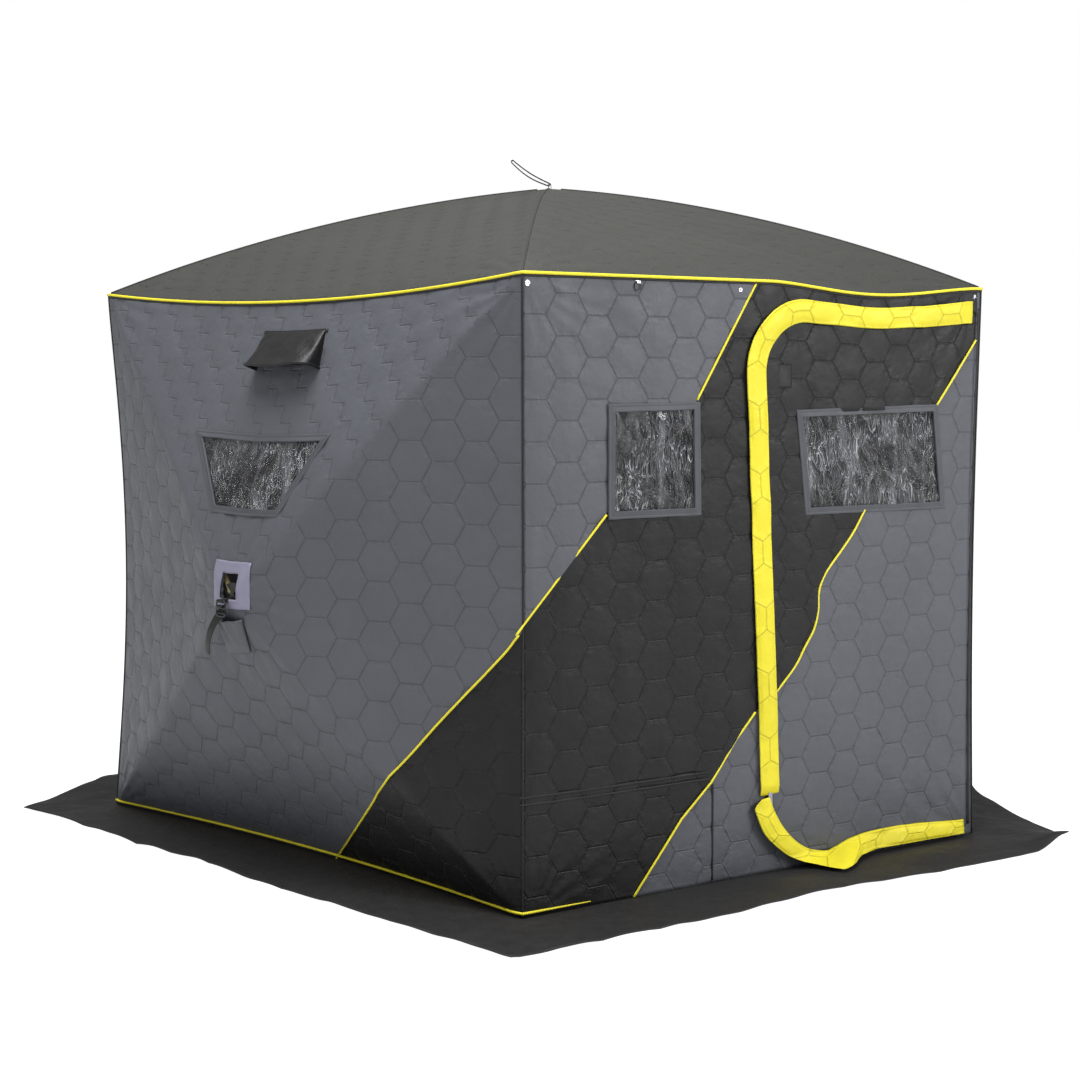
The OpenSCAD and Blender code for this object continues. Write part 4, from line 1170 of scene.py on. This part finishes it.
FOOT_INNER = [(0.003, 0.236), (0.023, 0.191), (0.056, 0.139), (0.103, 0.090), (0.157, 0.056), (0.223, 0.040),
              (0.259, 0.046), (0.325, 0.066), (0.418, 0.076), (0.564, 0.075), (0.768, 0.060), (0.790, 0.060)]
FOOT_OUTER = [(-0.026, 0.236), (-0.052, 0.212), (-0.046, 0.190), (-0.016, 0.128), (0.039, 0.076), (0.092, 0.042),
              (0.175, 0.020), (0.266, 0.016), (0.309, 0.017), (0.348, 0.020), (0.419, 0.022), (0.565, 0.020),
              (0.768, 0.018), (0.790, 0.018)]
FOOT_FLARE = [(-0.05, 0.010), (0.092, 0.014), (0.175, 0.042), (0.266, 0.118), (0.309, 0.094), (0.348, 0.042),
              (0.419, 0.014), (0.790, 0.012)]
FOOT_DRIFT = 0.567


def along_edge(points, count):
    """An edge curve sampled at count places, evenly by length."""
    line = curve_through(points, 0.006)
    run = run_of(line)
    where = np.linspace(0, run[-1], count)
    return np.stack([np.interp(where, run, line[:, i]) for i in range(2)], axis=-1)


def flap(name, path, node, foot):
    """A padded yellow storm flap over the zipper; a foot flap flares out where it meets the skirt."""
    side = side_of(path)
    w = FLAP_W / 2
    across, out = np.transpose([
        (-1, 0.0015), (-1, 0.0080), (-0.97, 0.0112), (-0.88, 0.0122), (-0.80, 0.0112), (-0.72, 0.0130),
        (-0.35, 0.0148), (0.1, 0.0152), (0.55, 0.0146), (0.78, 0.0130), (0.84, 0.0118), (0.90, 0.0128),
        (0.98, 0.0118), (1, 0.0095), (0.985, 0.0078), (0.6, 0.0088), (0, 0.0092), (-0.6, 0.0088)])
    length = run_of(path)
    ripple = fractal(np.stack([length, 0 * length, 0 * length], axis=-1), 0.09, 5, 2)
    out = out[None, :] * (1 + 0.22 * ripple[:, None] * (out > 0.0125)[None, :])
    if foot:
        share = (across + 1) / 2
        inner, outer = along_edge(FOOT_INNER, len(path)), along_edge(FOOT_OUTER, len(path))
        ab = inner[:, None] + (outer - inner)[:, None] * share[None, :, None]
        reach = np.interp(outer[:, 0], *np.transpose(FOOT_FLARE))[:, None] * share[None, :] ** 1.6
        out = out + reach
        ab[..., 0] -= FOOT_DRIFT * reach
        ab[..., 1] = np.maximum(ab[..., 1], 0.016)
    else:
        ab = path[:, None] + side[:, None] * (ripple[:, None] * 0.0018 - w * across[None, :])[..., None]
        ends = np.minimum(length, length[-1] - length)
        out = out * (0.45 + 0.55 * smooth(ends / 0.03))[:, None]
    made = skin(name, door_at, ab, out, sweep_faces(*out.shape), "yellow", sweep_uv(path, w * across),
                (0.035, 9, 3, 0.0009 * np.array([0.3, 1.0, 0.3])))
    finish_piece(made, on_door, node)


def zipper(name, grow, node, mount):
    """Zipper tape with its row of teeth along the opening's edge."""
    tape = strip(f"{name}_cloth", door_at, opening_edge(grow, 0.010), flat_profile(0.014, 0.0012, 0.0004), "seam")
    teeth = strip(f"{name}_teeth", door_at, opening_edge(math.copysign(0.0018, grow), 0.004),
                  round_profile(0.0018, 0.0026, 6), "teeth")
    finish_piece(tape, mount, node)
    finish_piece(teeth, mount)


def door_trims():
    """The storm flaps, the zipper, the door's tab and the seam that it hinges on."""
    path = opening_edge(0.0, TRIM_STEP)
    flap("upper_storm_flap_cloth", path[path[:, 1] > SPLIT_Z + 0.004], "upper_storm_flap", False)
    flap("lower_storm_flap_cloth", path[path[:, 1] < SPLIT_Z], "lower_storm_flap", True)
    zipper("door_zipper", -0.008, "door_zipper_tape", on_door)
    zipper("wall_zipper", 0.0075, "wall_zipper_tape", ROOT)
    tab = strip("door_hook_and_loop_tab", door_at, resample([(0.050, 1.454), (0.050, 1.524)], 0.008),
                flat_profile(0.054, 0.0035, 0.0004), "webbing")
    finish_piece(tab, on_door)
    hem = strip("door_hinge_seam", door_at, resample([(0.820, 0.040), (0.820, 1.700)], TRIM_STEP),
                flat_profile(0.011, 0.0022, 0.0004), "seam")
    finish_piece(hem, ROOT)


# ---------------------------------------------------------------- skirt

def mitre(k, side):
    """Slope of a skirt band's end on one side, where it meets the next band."""
    beside_door = k == 0 or (k, side) in ((1, 1), (4, -1))
    return math.tan((HALF_DOOR + HALF_HUB) / 2 if beside_door else HALF_HUB)


SKIRT_REST, SKIRT_WAVE, SKIRT_EDGE_WAVE = 0.004, 0.011, 0.010
SKIRT_FOLD = 0.012
TIP_CURL, TIP_REACH = 0.042, 0.075


def skirt():
    """Snow skirt: one sheet of cloth that lies round the foot of the walls in shallow waves."""
    bands, faces, uvs, area = [], [], [], 0.0
    rows, cols = 27, 168
    a, q = np.meshgrid(np.linspace(-1, 1, cols), np.linspace(0, 1, rows))
    out = -SKIRT_LAP + q * (SKIRT_LAP + SKIRT_W)
    corner = 1 - np.abs(a)
    free = smooth((q - 0.10) / 0.5)
    for k in range(5):
        half = half_angle(k)
        reach = BASE_R * math.sin(half) + out * np.where(a < 0, mitre(k, -1), mitre(k, 1))
        x = a * reach
        y = -(BASE_R * math.cos(half) + out) + foot_draw(k, a) * (1 - q)
        flat = to_row(k, x, y, 0 * x)
        wave, edge_wave = fractal(flat, 0.30, 7, 3), fractal(flat, 0.16, 8, 2)
        y = y - edge_wave * 0.012 * q ** 3 * smooth(corner / 0.03)
        lift = np.clip(SKIRT_REST + SKIRT_WAVE * wave, 0, None) * free
        lift += SKIRT_EDGE_WAVE * np.clip(edge_wave, 0, None) * q ** 4
        fold = np.exp(-((corner * reach) / SKIRT_FOLD) ** 2)
        lift = lift * (1 - 0.7 * fold) + 0.004 * fold * free
        if k in (0, 4):
            at_tip = a > 0 if k == 0 else a < 0
            tip_distance = np.hypot(corner * reach, (1 - q) * SKIRT_W)
            lift = lift + np.where(at_tip, TIP_CURL * np.exp(-(tip_distance / TIP_REACH) ** 2), 0)
        bands.append(to_row(k, x, y, SKIRT_T + lift))
        uvs.append(np.stack([x, y], axis=-1))
        faces.append(grid_faces(rows, cols)[:, ::-1] + k * rows * cols)
        area += float(reach[0].mean() + reach[-1].mean()) * (SKIRT_LAP + SKIRT_W)
    obj, _ = new_object("snow_skirt_cloth", np.vstack(bands), np.vstack(faces), np.vstack(uvs),
                        ("skirt", "skirt_under"))
    weld(obj, 0.0008)
    finish_piece(obj, ROOT, "snow_skirt", 0.0025, 1)
    obj.modifiers["thickness"].material_offset_rim = 0
    line = np.vstack([band[-1][::-1][:-1] - np.array([0, 0, 0.0012]) for band in bands])
    finish_piece(tube("skirt_hem", line, 0.0022, "seam", sides=6, closed=True), ROOT)


# ---------------------------------------------------------------- vent

VENT_X, VENT_HALF, VENT_TOP, VENT_FOOT, VENT_REACH = 0.048, 0.142, 0.107, 0.235, 0.072
VENT_SQUARE = 0.42


def vent():
    """Stiff-brimmed cloth hood over a mesh vent."""
    surface, mount = hub_wall_at(1), on_hub_wall()
    cols, rows = 61, 25
    turn, v = np.meshgrid(np.linspace(-math.pi / 2, math.pi / 2, cols), np.linspace(0, 1, rows))
    across = np.sign(np.sin(turn)) * np.abs(np.sin(turn)) ** VENT_SQUARE
    proud = np.abs(np.cos(turn)) ** VENT_SQUARE
    depth = 0.005 + (VENT_REACH - 0.005) * v ** 0.85
    droop = 0.010 * (1 - across ** 2) * v ** 2
    x = VENT_X + (VENT_HALF - 0.010 + 0.010 * v) * across
    ab = on_top_facet(x, VENT_TOP + (VENT_FOOT - VENT_TOP) * v + droop)
    ruck = fractal(np.stack([x * 1.2, v * 0.1, proud * 0.02], axis=-1), 0.045, 21, 3)
    bulge = np.sin(v * math.pi)
    out = proud * (depth * (1 - 0.10 * bulge) + ruck * 0.0035 * bulge) + 0.001
    hood = skin("vent_hood_cloth", surface, ab, out, grid_faces(rows, cols)[:, ::-1], "hood")
    finish_piece(hood, mount, "vent_hood", 0.003)
    brim = tube("vent_hood_brim", lifted(surface, ab[-1], out[-1]), 0.0042, "hood")
    finish_piece((brim, np.repeat(ab[-1], 8, axis=0)), mount)
    path = on_top_facet(np.linspace(VENT_X - VENT_HALF, VENT_X + VENT_HALF, 24), VENT_TOP + 0.002)
    welt = strip("vent_hood_welt", surface, path, flat_profile(0.012, 0.0035, 0.0005), "hood")
    finish_piece(welt, mount)
    cols, rows = 41, 17
    u, v = np.meshgrid(np.linspace(0, 1, cols), np.linspace(0, 1, rows))
    ab = on_top_facet(VENT_LEFT + (VENT_RIGHT - VENT_LEFT) * u, VENT_LOW + (VENT_HIGH - VENT_LOW) * v)
    sag = -0.004 - 0.004 * np.sin(u * math.pi) * np.sin(v * math.pi)
    screen = skin("vent_screen_mesh", surface, ab, sag, grid_faces(rows, cols), "mesh")
    finish_piece(screen, mount, "vent_screen", 0.0012)
    outline = VENT_HOLE + np.array([[-1, 1], [1, 1], [1, -1], [-1, -1]]) * 0.008
    finish_piece(frame_strip("vent_binding", surface, outline, 0.014, "seam"), mount)


# ---------------------------------------------------------------- hubs and pull straps

# The patch's outline and the pocket's foot, height, half width and how much that widens, in wall places
PATCH = np.array([(-0.078, 0.945), (0.082, 0.945), (0.082, 0.807), (-0.078, 0.807)])
PATCH_RELIEF = np.array([0.2, 1.2, 0.5, 1.0, 0.6, 1.3, 0.3])
POCKET_X, POCKET_Z, POCKET_H, POCKET_HALF, POCKET_WIDENS = -0.004, 0.668, 0.110, 0.054, 0.006
PIVOT_OUT = 0.058
STRAP_W = 0.025
STRAP_T = 0.0022
BUCKLE_H = 0.0225


def ribbon(name, centres, across, width, look, taper=1.0, thickness=STRAP_T):
    """A flat band through 3-D points; across is the direction of its width."""
    c = np.asarray(centres, float)
    d = unit(np.gradient(c, axis=0))
    side = unit(across - (across * d).sum(axis=1, keepdims=True) * d)
    w = np.broadcast_to(width / 2 * taper, (len(c),))[:, None]
    section = [(-1, -0.5), (-1, 0.5), (-0.88, 1), (-0.4, 0.85), (0.4, 0.85), (0.88, 1), (1, 0.5), (1, -0.5),
               (0.88, -1), (0.4, -0.85), (-0.4, -0.85), (-0.88, -1)]
    ring = np.stack([c + side * w * a + np.cross(side, d) * thickness / 2 * b for a, b in section], axis=1)
    uv = sweep_uv(c, [a * width / 2 for a, _ in section])
    return new_object(name, ring, sweep_faces(*ring.shape[:2]), uv, look)[0]


def rounded_loop(half_w, half_h, radius, turns=6):
    """A rounded rectangle as 2-D points."""
    out = []
    for cx, cy, start in ((1, 1, 0), (-1, 1, 0.5), (-1, -1, 1), (1, -1, 1.5)):
        a = (start + np.linspace(0, 0.5, turns)) * math.pi
        out += [(cx * (half_w - radius) + radius * math.cos(t), cy * (half_h - radius) + radius * math.sin(t))
                for t in a]
    return np.array(out)


def hub_patch(k):
    """Reinforcing patch round the slot that a hub's strap comes out of, and the pocket below it."""
    surface, name = hub_wall_at(k), WALL_NAMES[k]
    inner = HUB_SLOT + np.array([(1, -1), (-1, -1), (-1, 1), (1, 1)]) * 0.003
    ab = mitred(PATCH, inner, np.linspace(0, 1, len(PATCH_RELIEF)), [14] * 4)
    out = 0.0035 + 0.0012 * PATCH_RELIEF
    patch = skin(f"{name}_hub_patch", surface, ab, out, grid_faces(*ab.shape[:2], closed_rows=True), "patch",
                 crumple=(0.03, 3 + k, 2, 0.0008))
    finish_piece(patch, on_hub_wall(), None, 0.0018)
    u, v = np.meshgrid(np.linspace(-1, 1, 25), np.linspace(0, 1, 21))
    ab = np.stack([POCKET_X + (POCKET_HALF + POCKET_WIDENS * v) * u,
                   POCKET_Z + POCKET_H * v + POCKET_WIDENS * u * (1 - v)], axis=-1)
    billow = (1 - u ** 2) ** 0.6 * (0.004 + 0.022 * v ** 1.5) + 0.0035 * np.sin(u * 9 + 1.3) * v * (1 - u ** 2)
    pocket = skin(f"{name}_hub_pocket", surface, ab, 0.004 + billow, grid_faces(*u.shape), "pocket")
    finish_piece(pocket, on_hub_wall(), None, 0.0022)


def wall_strap(k):
    """Webbing anchor, plastic buckle and webbing tail that pull a wall hub out."""
    name = WALL_NAMES[k]
    strap, along, hub = f"{name}_pull_strap", wall_dir(k), mid(f"{name}_hub")
    y0 = -hub.x * math.cos(along) - (hub.y - CENTRE_Y) * math.sin(along) - PIVOT_OUT
    right = np.array([-math.sin(along), math.cos(along), 0.0])

    def at(points):
        q = np.asarray(points, float)
        return to_row(k, q[:, 0], y0 + q[:, 1], HUB_Z + q[:, 2])

    legs = np.linspace(0, 1, 5)
    loop = [(0, 0.036, 0.0042)] + [(0, 0.030 - 0.030 * t, 0.0042) for t in legs]
    loop += [(0, -0.0045 * math.sin(a), 0.0045 * math.cos(a)) for a in np.linspace(0.3, math.pi - 0.3, 9)]
    loop += [(0, 0.030 * t, -0.0042) for t in legs] + [(0, 0.036, -0.0042)]
    anchor = ribbon(f"{name}_anchor_webbing", at(loop), right, STRAP_W, "webbing")
    finish_piece(anchor, f"{name}_hub", f"{name}_strap_anchor")

    outline = [(x, 0.0005, z - BUCKLE_H) for x, z in rounded_loop(0.0195, BUCKLE_H, 0.008)]
    buckle = tube(f"{name}_buckle_frame", at(outline), 0.0030, "hub", sides=10, closed=True)
    finish_piece(buckle, strap, strap)
    for i, drop in enumerate((0.0, 0.021, 0.036)):
        line = at([(x, 0.001 * (i - 1), -drop) for x in np.linspace(-0.019, 0.019, 7)])
        bar = tube(f"{name}_buckle_bar_{i + 1}", line, 0.0026 if i else 0.0024, "hub")
        finish_piece(bar, strap)
    lean = math.radians(33)
    s = np.linspace(0, 1, 30)
    reach = 0.172 * s
    bow = np.sin(s * math.pi)
    curve = np.stack([-np.sin(lean) * reach - 0.006 * bow, 0.006 + 0.016 * s ** 2 - 0.010 * bow,
                      -0.026 - np.cos(lean) * reach], axis=1)
    lead = [(0, -0.006, -0.020), (0, -0.007, -0.012), (0, 0.004, -0.012), (0, 0.0065, -0.020)]
    tail_side = right * math.cos(lean) - np.array([0, 0, math.sin(lean)])
    taper = np.clip(np.minimum(1.0, (1 - s) * 7 + 0.55), 0.3, 1)
    tail = ribbon(f"{name}_strap_tail", at(curve), tail_side, STRAP_W, "webbing", taper)
    finish_piece(tail, strap)
    wrap = ribbon(f"{name}_strap_wrap", at(np.vstack([lead, curve[:3]])), right, STRAP_W * 0.96, "webbing")
    finish_piece(wrap, strap)


def roof_strap():
    """Webbing handle on the roof hub."""
    turn, lean = math.radians(240), math.radians(58)
    start, length, sag = 0.006, 0.150, 0.0048
    pivot = np.array([0, CENTRE_Y, APEX_Z + 0.012])
    width_way = np.array([math.cos(turn), math.sin(turn), 0.0])
    level = np.array([-math.sin(turn), math.cos(turn), 0.0])
    up = np.array([0, 0, 1.0])
    along = up * math.cos(lean) - level * math.sin(lean)
    proud = level * math.cos(lean) + up * math.sin(lean)

    def at(run, rise):
        return pivot + along * run + proud * rise

    s = np.linspace(0, 1, 26)
    bend = np.linspace(0, math.pi, 8)[1:-1]
    upper = [at(start + length * t, sag - 0.006 * math.sin(t * math.pi)) for t in s]
    end = [at(start + length + 0.005 * math.sin(a), sag * math.cos(a)) for a in bend]
    lower = [at(start + length * t, -sag - 0.010 * math.sin(t * math.pi)) for t in s[::-1]]
    near = [at(start - 0.006 * math.sin(a), -sag * math.cos(a)) for a in bend]
    handle = ribbon("roof_handle_webbing", upper + end + lower + near + upper[:1], width_way, STRAP_W, "webbing",
                    thickness=0.0024)
    finish_piece(handle, "roof_pull_strap", "roof_pull_strap")
    legs = np.linspace(0, 1, 6)
    loop = [pivot + level * 0.0045 - up * 0.026 * (1 - t) for t in legs]
    loop += [pivot + level * 0.0045 * math.cos(a) + up * 0.0055 * math.sin(a)
             for a in np.linspace(0.2, math.pi - 0.2, 9)]
    loop += [pivot - level * 0.0045 - up * 0.026 * t for t in legs]
    anchor = ribbon("roof_anchor_webbing", loop, width_way, STRAP_W, "webbing")
    finish_piece(anchor, "roof_hub", "roof_strap_anchor")


# ---------------------------------------------------------------- CAD pieces that keep their shape

def finish_cad_pieces():
    """Gives the CAD pieces that show as they are their materials."""
    looks = {"hub": "hub", "pole": "pole", "sockets": "socket", "rivets": "rivet", "ring": "ring", "slider": "slider"}
    for node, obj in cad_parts.items():
        for word, material in looks.items():
            if word in node:
                obj.data.materials.clear()
                obj.data.materials.append(MATERIALS[material])


# ---------------------------------------------------------------- the shelter, piece by piece

for wall in WALL_NAMES:
    hub_wall(wall)
door_wall()
door()
roof()
seams()
accents()
windows()
door_trims()
skirt()
vent()
for wall in WALL_NAMES:
    hub_patch(wall)
    wall_strap(wall)
roof_strap()
finish_cad_pieces()


# ---------------------------------------------------------------- floor and light

FLOOR = (0.30, 0.30, 0.303)
FLOOR_GLOW = 0.90
WHITE = (1.0, 1.0, 1.0, 1.0)
AMBIENT = 0.36
LIGHTS = (("overhead", (-1.5, -1.5, 6.5), (0, 0, 1.0), 4.5, 620), ("key", (-6.0, -4.5, 4.0), (0, 0, 1.0), 2.5, 50),
          ("fill", (3.5, -6.5, 3.5), (0, 0, 0.9), 3.0, 330))


def add_stage():
    """The pale floor."""
    s = Shader("floor")
    floor_material = s.finish(s.scaled(FLOOR, s.vary(s.position(), 3.0, 2.0, 0.97, 1.0)), 0.9)
    s.bsdf.inputs["Emission Color"].default_value = WHITE
    s.bsdf.inputs["Emission Strength"].default_value = FLOOR_GLOW
    bpy.ops.mesh.primitive_plane_add(size=60, location=(0, 0, 0))
    floor = bpy.context.object
    floor.name = "floor"
    floor.data.materials.append(floor_material)


def area_light(name, place, target, size, power):
    """A round soft light aimed at a target."""
    light = bpy.data.lights.new(name, "AREA")
    light.shape = "DISK"
    light.size = size
    light.energy = power
    obj = bpy.data.objects.new(name, light)
    bpy.context.scene.collection.objects.link(obj)
    obj.location = place
    obj.rotation_euler = (Vector(target) - Vector(place)).to_track_quat("-Z", "Y").to_euler()


def add_lights():
    """An even white surround and three soft lights."""
    world = bpy.data.worlds.new("studio")
    world.use_nodes = True
    tree = world.node_tree
    background = tree.nodes["Background"]
    background.inputs[0].default_value = WHITE
    path = tree.nodes.new("ShaderNodeLightPath")
    level = tree.nodes.new("ShaderNodeMapRange")
    level.inputs["To Min"].default_value = AMBIENT
    level.inputs["To Max"].default_value = 1.0
    tree.links.new(path.outputs["Is Camera Ray"], level.inputs["Value"])
    tree.links.new(level.outputs[0], background.inputs[1])
    bpy.context.scene.world = world
    bpy.context.scene.view_settings.view_transform = "Standard"
    for light in LIGHTS:
        area_light(*light)


add_stage()
add_lights()
